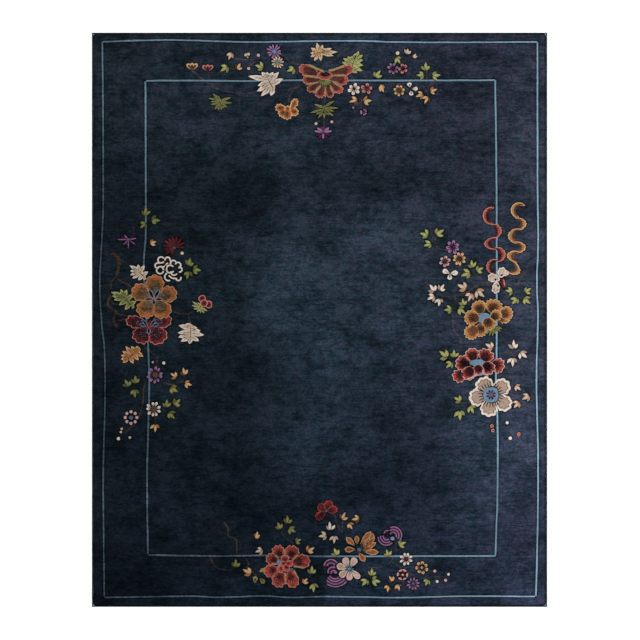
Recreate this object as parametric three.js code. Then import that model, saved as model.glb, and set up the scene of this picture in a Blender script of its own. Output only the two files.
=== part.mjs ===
// A hand-knotted wool rug of the Chinese Art Deco kind, lying flat on a floor.
//
// Millimetres, +Z up. The origin is the middle of the underside, +X runs across the
// rug and +Y along its warps, towards the end that holds the fan-shaped peony.
//
// The rug has five pieces. One knotted body carries the whole design, because its
// coloured flowers are knots of the same pile as the navy ground. A cord, overcast with
// navy wool, runs down each side of it, and a narrow woven band closes each end.

import * as THREE from "three";

// Driving dimensions.
const WIDTH = 2740; // over the two side cords
const LENGTH = 3456; // over the two end bands
const THICKNESS = 11; // from the floor to the tips of the clipped pile
const WEB = 3; // the warps and wefts that the knots are tied on
const SIDE_CORD = { width: 8, height: 7.4, turns: 16, foot: 0.2 * Math.PI };
const END_BAND = { width: 7, height: 4.2, edge: 1.2 };
const FIT = 0.3; // what is left open between two pieces

// The section of the body's rim, from the floor up. Inset is measured in from the edge
// of the web: the outermost tufts lean out over the cord, then round over to the top.
const BODY_RIM = [
  { inset: 0.6, height: 0 },
  { inset: 0, height: 0.6 },
  { inset: 0, height: WEB },
  { inset: 0.5, height: 0.55 * THICKNESS },
  { inset: 1.4, height: 0.76 * THICKNESS },
  { inset: 3.0, height: 0.91 * THICKNESS },
  { inset: 5.4, height: 0.98 * THICKNESS },
  { inset: 9.0, height: THICKNESS },
];

// The section of an end band: a low strip with its four long edges eased.
const END_RIM = [
  { inset: END_BAND.edge / 2, height: 0 },
  { inset: 0, height: END_BAND.edge / 2 },
  { inset: 0, height: END_BAND.height - END_BAND.edge },
  { inset: END_BAND.edge, height: END_BAND.height },
];

const CORNER = { radius: 12, steps: 5 }; // the knotted body's corners, worn round
const BAND_CORNER = { radius: 2.4, steps: 3 };
const LEAST_CORNER = 0.2; // the share of a corner's radius that the innermost ring keeps

// What the body measures once the cords, the bands and their gaps have had their share.
const BODY_WIDTH = WIDTH - 2 * (SIDE_CORD.width + FIT);
const BODY_LENGTH = LENGTH - 2 * (END_BAND.width + FIT);

const yarn = {
  pile: new THREE.MeshStandardMaterial({ color: 0x1b2634, roughness: 0.86, metalness: 0 }),
  overcast: new THREE.MeshStandardMaterial({ color: 0x10161f, roughness: 0.9, metalness: 0 }),
  web: new THREE.MeshStandardMaterial({ color: 0x161d27, roughness: 0.95, metalness: 0 }),
};

// The outline of a rectangle with round corners, anticlockwise from above.
function roundedOutline(width, length, corner) {
  const middles = [
    { x: width / 2, y: length / 2, from: 0 },
    { x: -width / 2, y: length / 2, from: Math.PI / 2 },
    { x: -width / 2, y: -length / 2, from: Math.PI },
    { x: width / 2, y: -length / 2, from: 1.5 * Math.PI },
  ];
  const points = [];
  for (const { x, y, from } of middles) {
    const cx = x - Math.sign(x) * corner.radius;
    const cy = y - Math.sign(y) * corner.radius;
    for (let step = 0; step <= corner.steps; step += 1) {
      const angle = from + (step / corner.steps) * (Math.PI / 2);
      points.push(
        new THREE.Vector2(
          cx + corner.radius * Math.cos(angle),
          cy + corner.radius * Math.sin(angle),
        ),
      );
    }
  }
  return points;
}

// A slab whose rim follows a section: one ring of points for each row of the section,
// stitched into walls, with a flat cap below the first ring and above the last.
function rimmedSlab(width, length, corner, rim) {
  const rings = rim.map(({ inset, height }) => {
    const radius = Math.max(corner.radius - inset, LEAST_CORNER * corner.radius);
    const outline = roundedOutline(width - 2 * inset, length - 2 * inset, { ...corner, radius });
    return outline.map((p) => new THREE.Vector3(p.x, p.y, height));
  });
  const count = rings[0].length;
  const positions = rings.flat().flatMap((p) => p.toArray());
  const faces = [];
  for (let ring = 0; ring + 1 < rings.length; ring += 1) {
    for (let i = 0; i < count; i += 1) {
      const next = (i + 1) % count;
      const [a, b] = [ring * count + i, ring * count + next];
      const [c, d] = [a + count, b + count];
      faces.push(a, b, d, a, d, c);
    }
  }
  const top = (rings.length - 1) * count;
  const outline = roundedOutline(width, length, corner);
  for (const [a, b, c] of THREE.ShapeUtils.triangulateShape(outline, [])) {
    faces.push(c, b, a);
    faces.push(top + a, top + b, top + c);
  }
  const slab = new THREE.BufferGeometry();
  slab.setAttribute("position", new THREE.Float32BufferAttribute(positions, 3));
  slab.setIndex(faces);
  slab.computeVertexNormals();
  return slab;
}

// The round section of a side cord, with the flat on which it lies: foot is half the
// angle that the floor cuts off.
function cordSection({ width, height, turns, foot }) {
  const section = new THREE.Shape();
  for (let turn = 0; turn <= turns; turn += 1) {
    const angle = foot + (turn / turns) * (2 * Math.PI - 2 * foot);
    const x = (width / 2) * Math.sin(angle);
    const share = (Math.cos(foot) - Math.cos(angle)) / (Math.cos(foot) + 1);
    const y = share * height;
    if (turn === 0) section.moveTo(-x, y);
    else section.lineTo(-x, y);
  }
  section.closePath();
  return section;
}

function named(name, geometry, material) {
  const mesh = new THREE.Mesh(geometry, material);
  mesh.name = name;
  return mesh;
}

// The body: warps, wefts and pile in one.
function knottedBody() {
  const slab = rimmedSlab(BODY_WIDTH, BODY_LENGTH, CORNER, BODY_RIM);
  return named("knotted_body", slab, yarn.pile);
}

// A cord beside the body, as long as the body and its two bands.
function sideCord(side, name) {
  const cord = new THREE.ExtrudeGeometry(cordSection(SIDE_CORD), {
    depth: LENGTH,
    steps: 1,
    bevelEnabled: false,
  });
  const mesh = named(name, cord, yarn.overcast);
  mesh.rotation.x = Math.PI / 2;
  mesh.position.set((side * (WIDTH - SIDE_CORD.width)) / 2, LENGTH / 2, 0);
  return mesh;
}

// A woven band across one end, between the two cords.
function endBand(end, name) {
  const band = rimmedSlab(BODY_WIDTH, END_BAND.width, BAND_CORNER, END_RIM);
  const mesh = named(name, band, yarn.web);
  mesh.position.y = (end * (LENGTH - END_BAND.width)) / 2;
  return mesh;
}

const rug = new THREE.Group();
rug.add(knottedBody());
rug.add(sideCord(-1, "side_cord_left"));
rug.add(sideCord(1, "side_cord_right"));
rug.add(endBand(1, "end_band_top"));
rug.add(endBand(-1, "end_band_bottom"));

export default rug;
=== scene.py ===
# %% [markdown]
# # A knotted wool rug with sprays of flowers
#
# The rug is 2.74 by 3.46 m: a navy ground, two thin blue border lines, and a spray of
# flowers, leaves or ribbons at the middle of each side. The CAD model gives its five
# solids. This lesson gives them their looks: the coloured wool, the carved pile, the
# wrapped cords and the woven ends.
#
# Every cell makes one thing and prints what it made. Lengths in Blender are metres. The
# flowers are placed in centimetres from the rug's middle, as on a weaver's chart.

# %% Load the frame
import math
from types import SimpleNamespace

import bpy
import numpy as np
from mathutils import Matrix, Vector, geometry, kdtree, noise


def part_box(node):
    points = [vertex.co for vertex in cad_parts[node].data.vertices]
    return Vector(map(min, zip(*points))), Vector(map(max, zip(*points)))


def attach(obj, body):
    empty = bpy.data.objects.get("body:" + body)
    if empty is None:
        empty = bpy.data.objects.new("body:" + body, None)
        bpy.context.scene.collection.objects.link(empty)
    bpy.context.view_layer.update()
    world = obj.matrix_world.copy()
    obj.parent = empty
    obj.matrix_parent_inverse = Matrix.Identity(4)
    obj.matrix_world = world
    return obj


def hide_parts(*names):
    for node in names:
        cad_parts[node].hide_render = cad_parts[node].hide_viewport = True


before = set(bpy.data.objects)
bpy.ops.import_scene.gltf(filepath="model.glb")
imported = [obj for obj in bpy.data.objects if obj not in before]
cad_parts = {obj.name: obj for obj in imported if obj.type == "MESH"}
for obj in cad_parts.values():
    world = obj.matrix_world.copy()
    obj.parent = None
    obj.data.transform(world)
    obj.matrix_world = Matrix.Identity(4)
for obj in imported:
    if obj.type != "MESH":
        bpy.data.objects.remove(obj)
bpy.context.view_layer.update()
scene = bpy.context.scene
noise.seed_set(7)  # without this, each run would start its noise from the clock
CM = 0.01
MM = 0.001
body_low, body_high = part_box("knotted_body")
PILE_TOP = body_high.z
print("The knotted body is", [round(v, 4) for v in body_high - body_low], "m")

# %% [markdown]
# ## Wool colours
#
# A photo gives a colour as three numbers from 0 to 255, but Blender counts light, so each
# number is turned into a linear one. The studio light is strong enough to make the floor
# pure white, and it would make the wool too pale as well. Dividing every yarn's colour
# by the same number, SHOWN, takes that out again.

# %% Yarns
SHOWN = 1.4


def linear(*levels):
    """The share of light that wool of a colour gives back, from its levels, 0 to 255."""
    shares = [level / 255 for level in levels]
    light = [v / 12.92 if v < 0.04 else ((v + 0.055) / 1.055) ** 2.4 for v in shares]
    return tuple(v / SHOWN for v in light)


YARNS = {
    "navy": linear(29.7, 41.1, 52.1),
    "line": linear(103, 130, 146),
    "twig": linear(60, 55, 55),
    "trunk": linear(62, 50, 42),
    "ivory": linear(208, 195, 184),
    "cream": linear(188, 171, 152),
    "taupe": linear(156, 134, 120),
    "umber": linear(64, 50, 46),
    "tan": linear(190, 154, 114),
    "sand": linear(164, 130, 100),
    "gold": linear(153, 107, 67),
    "brown": linear(88, 56, 38),
    "orange": linear(143, 84, 48),
    "rust": linear(120, 68, 40),
    "bark": linear(58, 47, 38),
    "moss": linear(82, 68, 48),
    "fern": linear(86, 92, 50),
    "hay": linear(146, 126, 88),
    "rose": linear(172, 116, 108),
    "pink": linear(184, 150, 148),
    "red": linear(142, 65, 54),
    "maroon": linear(90, 35, 37),
    "wine": linear(48, 26, 31),
    "lilac": linear(138, 104, 136),
    "plum": linear(66, 36, 62),
    "lime": linear(152, 152, 100),
    "leaf": linear(120, 122, 76),
    "olive": linear(56, 64, 36),
    "sky": linear(98, 128, 150),
    "slate": linear(66, 88, 102),
    "ink": linear(12, 15, 22),
}
print(len(YARNS), "yarns")

# %% [markdown]
# ## A drawing kit
#
# A weaver follows a chart of flat shapes, so the design is first a list of outlines, each
# with its yarn. What is laid later covers what was laid before. A few rules draw all of
# it: a petal between a foot and a tip, a scalloped petal, a stroke along a curve and an
# arc. Each flower is then only a place, a size and a few directions.

# %% Outlines
STITCH = 0.36  # cm between two points of an outline, about one knot
drawing = []


def lay(outline, yarn, carved=True):
    """Adds a shape on top of the drawing. The pile is cut down beside a carved one."""
    drawing.append(SimpleNamespace(outline=outline, yarn=yarn, carved=carved))


def turned(points, x, y, angle):
    """Points given along and across a direction, turned to that angle and set at (x, y)."""
    cos, sin = math.cos(math.radians(angle)), math.sin(math.radians(angle))
    return [(x + a * cos - b * sin, y + a * sin + b * cos) for a, b in points]


def beyond(x, y, angle, distance):
    """The place at a distance from (x, y) in a direction, or behind it if that is negative."""
    return turned([(distance, 0)], x, y, angle)[0]


def aim(x, y, tip_x, tip_y):
    """The direction from one place to another, in degrees, and how far it is."""
    return math.degrees(math.atan2(tip_y - y, tip_x - x)), math.dist((x, y), (tip_x, tip_y))


def petal(x, y, angle, long, wide, broad=0.5, blunt=0.8):
    """A petal with its foot at (x, y). It is widest at the share broad of its length, and
    a small blunt gives it a round end, a large one a point."""
    count = max(5, round(long / STITCH))
    power = math.log(0.5) / math.log(broad)
    edge = []
    for i in range(1, count):
        along = i / count
        half = wide / 2 * math.sin(math.pi * along**power) ** blunt
        edge.append((along * long, half))
    mirrored = [(a, -b) for a, b in edge]
    return turned([(0, 0), *mirrored, (long, 0), *edge[::-1]], x, y, angle)


def scalloped(x, y, angle, long, wide, frills=0, frill=0.0):
    """A broad petal round the middle (x, y). Its outer edge is in frills, so many to the
    whole turn, and each stands out by frill cm."""
    count = max(12, round(1.6 * (long + wide) / STITCH))
    points = []
    for i in range(count):
        turn = 2 * math.pi * i / count
        along = long / 2 * math.cos(turn)
        across = wide / 2 * math.sin(turn) * (1 + 0.16 * math.cos(turn))
        outer = min(1, max(0, 0.75 + 1.2 * math.cos(turn)))
        uneven = 1 + 0.35 * math.sin(2.7 * turn + 0.3 * x)
        wave = frill * uneven * (abs(math.cos(frills * turn / 2)) - 0.64) * outer if frills else 0
        reach = 1 + wave / max(0.5, math.hypot(along, across))
        points.append((along * reach, across * reach))
    return turned(points, x, y, angle)


def disc(x, y, wide, tall=None, angle=0):
    """A round or oval spot."""
    return scalloped(x, y, angle, wide, tall or wide)


def smooth(knots, step):
    """Points every step along a smooth curve through the knots."""
    ends = [knots[0], *knots, knots[-1]]
    path = []
    for before, a, b, after in zip(ends, ends[1:], ends[2:], ends[3:]):
        count = max(1, round(math.dist(a[:2], b[:2]) / step))
        for i in range(count):
            t = i / count
            place = []
            for p, q, r, s in zip(before, a, b, after):
                bend = 2 * p - 5 * q + 4 * r - s + t * (3 * (q - r) + s - p)
                place.append(q + 0.5 * t * (r - p + t * bend))
            path.append(tuple(place))
    return [*path, knots[-1]]


def stroke(path, yarn, carved=True):
    """A stroke along a path of (x, y, width)."""
    left, right = [], []
    for i, (x, y, wide) in enumerate(path):
        ahead, behind = path[min(i + 1, len(path) - 1)], path[max(i - 1, 0)]
        heading, _ = aim(*behind[:2], *ahead[:2])
        side = turned([(0, wide / 2), (0, -wide / 2)], x, y, heading)
        left.append(side[0])
        right.append(side[1])
    lay(right + left[::-1], yarn, carved)


def arc(x, y, radius, start, sweep, wide, yarn):
    """A stroke along part of a circle, from one angle and through a sweep, in degrees."""
    count = max(4, round(math.radians(abs(sweep)) * radius / STITCH))
    path = []
    for i in range(count + 1):
        path.append((*beyond(x, y, start + sweep * i / count, radius), wide))
    stroke(path, yarn)


def ruffle(row, less, yarn, frills, frill, carved=False):
    """A row's scalloped petal, less cm smaller than the row says."""
    lay(scalloped(*row.at, row.long - less, row.wide - less, frills, frill), yarn, carved)


def table(text):
    """The rows of a small table, whose first line names its columns. Numbers behind a bar
    are a list of their own, which goes on in a line that starts with a bar. A row with a
    tip gets the angle and the length to it."""
    head, *lines = text.strip().replace("\n|", ",").splitlines()
    names = head.split("|")[0].split()
    rows = []
    for line in lines:
        words, _, more = line.partition("|")
        cells = [word if word[0].isalpha() else float(word) for word in words.split()]
        row = SimpleNamespace(**dict(zip(names, cells)))
        if "tip_x" in names:
            row.angle, row.long = aim(row.x, row.y, row.tip_x, row.tip_y)
        row.at = [getattr(row, name) for name in ("x", "y", "angle") if hasattr(row, name)]
        row.places = [tuple(map(float, place.split())) for place in more.split(",") if place]
        rows.append(row)
    return rows


# %% [markdown]
# ## Branches
#
# Thin brown twigs tie each spray together. They are strokes that taper from a thick end
# to a thin one, and they lie lowest, because leaves, flowers and lines all cover them.

# %% Lay the branches
# The width at both ends, the yarn and the places that the branch passes, in cm.
BRANCHES = table("""
thick thin yarn | places
0.9 0.6 twig | -76.6 150, -70 144.5, -64.7 140.8, -59.7 138.2, -54.9 137.2, -45.3 136, -37.7 137.2
0.7 0.6 twig | -66.8 149, -66 144.5, -64 141
0.6 0.7 twig | -26.7 139.8, -24.3 138.4, -18.5 138.4, -14.2 139.6, -9.5 142
0.7 0.7 twig | -15.2 138.9, -18 134.3, -18.8 130.5
0.6 0.7 twig | -51.6 157, -46.3 156.6, -41.5 156.6, -38.6 155.9, -42 152.7
0.6 0.8 twig | -23.8 160.2, -20.9 158.3, -17.6 155.1, -13.8 153.9, -10.9 152.8
0.7 0.8 twig | 3.6 154, 8.6 156.1, 12 159.2, 15.3 162.1, 18.4 164
0.8 0.6 twig | 3.4 134, 3 128, 2.6 122, 2.5 116
0.6 0.6 twig | 52.6 157.3, 50.5 154.5, 49 151
0.6 0.6 twig | 45.9 148.9, 43.5 144.6
0.6 0.6 twig | 64.5 150, 64.4 144
0.6 0.6 twig | 61.7 141.5, 64.6 137.2, 65 134
0.7 0.6 twig | 25.8 141, 25.8 136, 24.9 127.1
0.6 0.6 twig | 22 129, 24 130.5, 27 132
0.6 0.6 twig | 44 142, 49 141.4, 53 138.6
0.6 0.6 twig | 18.5 148, 20.5 145.5, 21 142
2.2 1.5 trunk | -124.8 40.2, -121.3 37.4, -120.4 33.4, -121.2 29, -122.3 25.3
1.2 0.8 trunk | -122.3 25.6, -125.3 22.8, -125.6 18.4
1.2 0.8 trunk | -122 26, -119.9 23.4, -116 21.6, -113.4 19.8
0.8 0.6 trunk | -119.8 36, -117.4 35, -115.6 34.4
1.6 1.4 trunk | -125.2 14.4, -127.4 10.5, -125.5 7, -122.2 5.0, -123.8 0.5, -121.6 -4.4
1.4 0.9 trunk | -123 4.2, -119 3.0, -114.6 2.4
0.9 0.7 trunk | -120.6 -0.6, -117 0.2, -114 -0.8
0.8 0.6 trunk | -126 12, -123.6 9.6, -121 9.4
0.7 0.6 trunk | -88 5, -84 3.8, -80.1 3.3, -76 5
0.6 0.5 trunk | -79 3, -77.7 -2
0.7 0.6 trunk | -105.7 -14.5, -103.5 -18, -99.2 -20.9, -97.4 -22.6, -98.5 -28
0.7 0.6 trunk | -104.8 -37.8, -106 -43, -106 -48.3, -107.3 -55, -109 -59
0.6 0.5 trunk | -95 -36.5, -89 -39, -82 -37
0.6 0.5 trunk | -111 -63, -115 -66, -117 -68
0.5 0.5 trunk | -98.8 -58, -98.8 -63
0.5 0.5 twig | -112 56, -111.6 51
0.7 0.9 twig | 75 13.9, 81.9 14.4, 89.4 17.1, 94.8 21.2, 99 22.6, 104.5 21.8
0.7 0.6 twig | 105 21, 97 20.6, 90.5 18.4
0.9 0.6 twig | 107 22.4, 114.2 23.8, 121.1 26, 126 30.4
0.7 0.5 twig | 119.8 24.3, 120.1 14.7
0.8 0.6 twig | 69.6 50.1, 69.8 45.4, 72 42.8, 78 41.6
0.6 0.6 twig | 84 33, 85 30.6, 88 29.6
0.7 0.5 twig | 92 30, 94 27, 98 24
0.7 0.5 twig | 82 14, 79.8 8, 80.4 2
0.6 0.5 twig | 82 14, 82 9
0.8 0.6 twig | 80.3 3, 80.6 -5.4, 84.1 -10.8, 85.6 -15.6, 88.4 -19.4
0.6 0.6 twig | 108 -20, 115 -19.6, 119 -20
0.7 0.6 twig | 111 -28, 114 -31, 115 -37
0.6 0.6 twig | 85 -50, 89 -49.6, 92 -48
0.6 0.5 twig | 107.4 -62.4, 112 -65.6, 116.8 -69
0.6 0.4 twig | 119.6 -69.8, 119.8 -76.3
0.6 0.5 twig | 115 -44, 118.5 -47
0.9 0.8 trunk | -57.5 -121.7, -55 -125.4, -54.8 -130, -50.2 -132.3, -49.9 -140.6
0.8 0.7 trunk | -44.2 -143.8, -42.6 -146.6, -44 -149.4
0.8 0.6 trunk | -66 -142, -63.5 -147.5, -59.8 -149.8, -52.9 -150.5
0.6 0.5 trunk | -38 -154, -42 -150
0.6 0.6 twig | -23 -127.2, -19.8 -131.8, -15.6 -134.1
0.6 0.6 twig | 9 -117, 11 -124, 14 -129
0.6 0.6 twig | 14 -121, 13.5 -128
0.6 0.6 twig | 45.7 -134.6, 45.9 -140, 42.2 -146.4, 37.9 -148.6, 29.3 -149.1
0.6 0.5 twig | 43 -145, 50 -150, 54 -152.3, 61 -155.5, 68.5 -154.5, 74.4 -154.5
0.6 0.5 twig | -6 -155, -5 -152
""")
for row in BRANCHES:
    path = smooth(row.places, 2 * STITCH)
    shares = [i / (len(path) - 1) for i in range(len(path))]
    widths = [row.thick + (row.thin - row.thick) * share for share in shares]
    stroke([(x, y, wide) for (x, y), wide in zip(path, widths)], row.yarn, carved=False)
print(len(drawing), "branches")

# %% [markdown]
# ## Border lines
#
# Two thin lines of light blue yarn run round the rug. On the loom they wandered a little,
# so each side is a smooth curve through a few given places and not a ruled line.

# %% Lay the border lines
# The four sides of the outer line and then of the inner one, from corner to corner.
LINES = table("""
wide | places
0.9 | -130.6 167.3, -95 168.3, -75 168, -40 167.1, 15 167.8, 60 166.9, 131.1 167.1
0.9 | 131.1 167.1, 131.2 78, 131.5 46, 130.8 24, 131.4 0, 130.5 -37, 131.4 -78, 131.3 -120
| 130.2 -166.4
0.9 | 130.2 -166.4, 84 -166.3, 48 -167.1, 5 -166.5, -18 -167, -32 -166.1, -60 -166.9, -80 -166.3
| -129.4 -167
0.9 | -129.4 -167, -130.1 -95, -129 -49, -129.3 -19, -130.9 -3, -132.1 24, -130.1 72, -130.6 167.3
1.0 | -104.7 143.8, -75 143.9, -38 143.6, -10 144.1, 45 143.9, 105.7 144.1
1.0 | 105.7 144.1, 106.5 78, 106.6 -13, 106.1 -34, 107.1 -62, 107.2 -90, 106.9 -112, 105.8 -142.1
1.0 | 105.8 -142.1, 84 -142.1, 0 -142.3, -32 -141.7, -60 -142.1, -103.2 -141.5
1.0 | -103.2 -141.5, -103.7 -98, -103.2 -70, -102.4 -43, -102.9 -20, -105.6 29, -104.6 50, -104.5 72
| -104.7 143.8
""")
STRAY = SimpleNamespace(far=0.12, wave=9)  # cm that a line strays, and over how long a way
for row in LINES:
    path = smooth(row.places, 1.4)
    strays = [STRAY.far * noise.noise((x / STRAY.wave, y / STRAY.wave, 3.0)) for x, y in path]
    stroke([(x + w, y + w, row.wide + w) for (x, y), w in zip(path, strays)], "line")

# %% [markdown]
# ## Small leaves and buds
#
# Most of the leaves are small, with three lobes, and each lobe has a light half on a dark
# one. A bud is the same form with its lobes closer together. So one function draws them
# all, from a table with a place, a size and the way that the leaf points.

# %% Lay the small leaves
# The yarn of a lobe's light half, of its dark half, and of the light half in the shade.
LEAF_YARNS = {
    "green": ("lime", "olive", "leaf"),
    "mossy": ("leaf", "olive", "fern"),
    "cream": ("cream", "umber", "taupe"),
    "white": ("ivory", "umber", "taupe"),
    "tan": ("tan", "bark", "gold"),
    "amber": ("tan", "bark", "brown"),
    "toast": ("cream", "brown", "sand"),
    "blush": ("rose", "wine", "maroon"),
}
SIDE_REACH = 0.76  # the length of a side lobe, the middle one being 1


def chance(x, y, most):
    """A number between -most and most that a place always gives."""
    return most * max(-1, min(1, 2.2 * noise.noise((0.37 * x, 0.37 * y, 6.0))))


def small_leaf(leaf, spread=40, middle=1.0):
    """Three lobes from one foot, each with a light half. A short middle makes a cup."""
    light, dark, shaded = LEAF_YARNS[leaf.look]
    size, angle = leaf.size, leaf.angle
    foot = beyond(*leaf.at, -0.44 * size)
    if middle < SIDE_REACH:
        for heading, reach in ((angle - 38, 0.9), (angle + 38, 0.9), (angle, 0.8)):
            lay(petal(*foot, heading, reach * size, 0.44 * size, 0.7, 0.5), light)
        for heading, reach in ((angle - 36, 0.72), (angle + 36, 0.72), (angle, 0.62)):
            lay(petal(*foot, heading, reach * size, 0.26 * size, 0.7, 0.5), shaded, carved=False)
        lay(petal(*foot, angle, 0.4 * size, 0.4 * size, 0.6, 0.5), dark, carved=False)
        return
    lean = chance(leaf.x, leaf.y, 7)
    uneven = chance(leaf.y, leaf.x, 0.1)
    lobes = [(angle - spread + lean, SIDE_REACH + uneven, light),
             (angle + spread + lean, SIDE_REACH - uneven, shaded), (angle, middle, light)]
    lay(petal(*foot, angle, 0.62 * size, 0.56 * size, 0.6, 0.7), dark)
    for heading, reach, _ in lobes:
        lay(petal(*foot, heading, 1.04 * reach * size, 0.41 * size, 0.54, 1.2), dark)
    for heading, reach, yarn in lobes:
        start = turned([(0.12 * size, 0.04 * size)], *foot, heading)[0]
        lay(petal(*start, heading, (reach - 0.12) * size, 0.29 * size, 0.5, 1.15), yarn, False)


LEAVES = table("""
look x y size angle
green -57.1 151.3 5.8 215
green -35.8 152.3 5.6 160
green -16.9 150.6 5.4 200
green 34.9 147.5 5.6 50
green 47.1 156.3 4.8 300
green 64.1 152 5.4 90
green 61 147.2 5.0 178
green 69.9 146.8 5.6 2
tan 60.5 135.3 5.2 200
amber 64.4 132.6 5.2 240
tan 68.4 137.7 4.8 20
amber 20.8 131.9 5.6 195
tan 28.5 131.4 5.6 5
mossy -104.6 64.8 5.4 80
mossy -98.9 59.6 5.8 0
mossy -105.8 57 5.0 215
mossy -78 34.4 5.4 82
mossy -74.2 29.9 5.4 352
mossy -79.3 27.2 5.4 255
mossy -115.5 -38.4 5.4 118
mossy -110.6 -36.3 5.2 90
mossy -111.2 -44 5.4 270
mossy -87.9 -42.1 5.6 332
mossy -91.9 -50.7 5.2 82
mossy -85.7 -50.1 5.6 48
mossy -89.4 -57.5 5.6 318
tan -87.3 -33.5 4.8 145
amber -81.3 -31.4 5.2 100
tan -79.3 -38.7 5.0 342
green 63.4 51.5 5.8 165
green 72 52.3 6.2 28
green 65.3 45.3 5.2 195
green 91.9 33.2 5.2 95
green 96.2 30 5.0 25
green 88.4 27.6 6.2 195
green 114.4 17.4 5.0 172
green 125.2 17.4 4.8 35
green 117.6 11.5 5.4 225
green 124.4 11.5 5.6 318
green 86.5 10.4 5.0 95
green 77.6 6.1 5.2 180
green 85.2 5.5 5.8 322
white 68.2 18.7 5.8 122
white 73.6 19 5.2 55
white 67.4 13.6 5.4 205
white 72 10.9 5.2 258
toast 86.2 19.8 6.4 152
toast 90.5 13.9 5.8 248
toast 96.2 16 6.8 318
green 75.2 -21 7.0 140
green 81.1 -20.7 5.2 90
green 78.2 -26.9 5.2 222
green 83.5 -47.8 5.4 150
green 91.3 -53.7 5.6 295
green 84.3 -57 6.6 270
toast 102.6 -15.9 5.8 148
white 117.1 -15.3 6.0 92
white 122.2 -21 6.0 320
white 116 -25 6.0 268
toast 119 -40.8 4.6 320
toast 124.4 -46.5 5.4 205
toast 118.7 -50.8 5.2 228
mossy -19.1 -120.6 5.4 90
mossy -24.2 -124.2 4.8 110
mossy -16.8 -126.5 5.2 330
mossy -12.9 -133.1 4.2 28
mossy -50.2 -146.8 5.4 90
green -4.4 -150.9 5.4 88
green -3.7 -160.8 5.6 268
green 10 -140 5.6 108
green 49.4 -134.9 5.2 20
green 41.1 -140.5 5.0 105
green 31.7 -152.1 5.0 92
green 27.4 -157.7 5.2 225
green 33.6 -157.2 6.0 348
green 64.5 -157.7 4.6 250
amber 14.3 -118.5 5.2 62
amber 22.1 -119.6 5.2 190
tan 18.3 -123.9 4.6 300
amber 43.3 -156.1 4.6 120
amber 41.1 -161.4 4.6 262
amber 47.3 -160.6 4.6 282
white 6.5 -124.5 5.6 95
cream 2.3 -129.8 5.4 185
cream 8.8 -131.8 5.2 262
tan -5.5 -138.7 5.6 32
""")
BUDS = table("""
look x y size angle spread middle
amber -76.6 152.6 5.6 90 40 0.6
blush -67.2 151.7 5.4 90 40 0.6
toast -53.7 159 5.0 245 34 1.0
amber -48.7 152 4.6 60 40 1.0
cream 53.1 161.4 5.0 82 34 0.8
toast 57.2 158.5 3.4 60 26 1.0
tan 37.3 139.6 5.6 290 22 1.0
tan -100.3 46.3 5.0 15 30 0.9
amber -37.7 -130 5.2 75 28 1.0
tan -43 -151.6 6.2 150 34 1.0
tan -8.7 -157.4 4.6 48 34 1.0
cream -36.1 -138.7 5.0 200 40 1.0
tan -98.9 -64.8 5.2 268 44 1.0
""")
for leaf in LEAVES:
    small_leaf(leaf)
for bud in BUDS:
    small_leaf(bud, bud.spread, bud.middle)
print(len(drawing), "shapes with the small leaves and buds")

# %% [markdown]
# ## Large leaves
#
# The large leaves are fans of pointed fingers that start along a rib, with a dark vein in
# each finger. Each leaf is a list of directions and lengths. The fingers overlap, so
# together they make one jagged leaf.

# %% Lay the large leaves
# Rib and heading are the rib's length and direction. Behind the bar is each finger's
# direction from the leaf's middle, and how far its tip is.
LARGE_LEAVES = table("""
x y wide rib heading gap edge blade vein | fingers
-29.5 142 3.3 7 120 brown ivory cream umber | 161 14.2, 127 8.8, 106 7.3, 77 7.2, 54 8.6, 22 8.2
| 189 7.8, 210 9.4, 233 9.4, 272 7.2
0.3 160.6 2.4 2 0 bark cream tan brown | 108 6.4, 73 5.2, 151 6.3, 182 5.8, 204 6.2, 235 6.1, 276 5
| 22 7.6, 3 10.6, 347 8.4, 40 4.4
19.8 152.8 2.5 7 72 olive lime lime olive | 161 6.6, 141 7.3, 118 6.3, 95 6, 78 7.8, 66 9.8, 46 9.2
| 28 7.4, 2 6.6, 333 7, 304 5.2
-60 131.2 1.4 3 100 olive leaf leaf olive | 163 7.4, 131 6.6, 199 5.9, 236 5.6, 283 5, 325 6
| 354 7.6, 21 7.6, 108 3.8, 258 5.4, 305 4.8, 180 5.6
3 127.2 1.4 3 80 olive leaf leaf olive | 37 7.8, 1 8.6, 320 7.6, 302 5, 270 6.2, 237 7.2, 197 9.4
| 158 6.8, 262 4, 215 6.6, 342 6.4
-107 27.4 2.3 6 130 brown ivory cream brown | 144 8.9, 109 6.2, 72 5.8, 22 4.2, 164 7.3, 184 6.9
| 205 6.2, 240 4.2, 302 3.8
-115.5 11.2 2.5 8 128 olive lime leaf olive | 151 11.4, 119 8.2, 93 7, 52 5.2, 0 5.2, 319 5.6
| 253 5.4, 205 5.6, 175 8.3, 162 9.8
-77.5 -7 2.9 8 90 brown ivory cream brown | 153 8.1, 186 7.8, 205 8.4, 226 8.6, 264 7.6, 311 7.6
| 345 8.3, 27 4.6, 97 4, 128 5.4, 4 6
-112 -20.5 2.5 8 40 brown tan gold brown | 136 6.6, 165 6.7, 186 7.5, 203 8.2, 221 8.3, 270 5.9
| 310 5, 343 6.3, 29 5.1, 67 5.2, 105 4.8
-71.6 7.6 1.3 2 60 olive lime lime leaf | 145 6.2, 168 5.4, 195 4.4, 235 3.6, 275 3.4, 302 4.4
| 330 5, 120 3.4
""")
VEIN_WIDTH = 0.3
GAP_WIDTH = 0.62
GAP_SPREAD = 50  # fingers further apart than this have open ground between them


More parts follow.
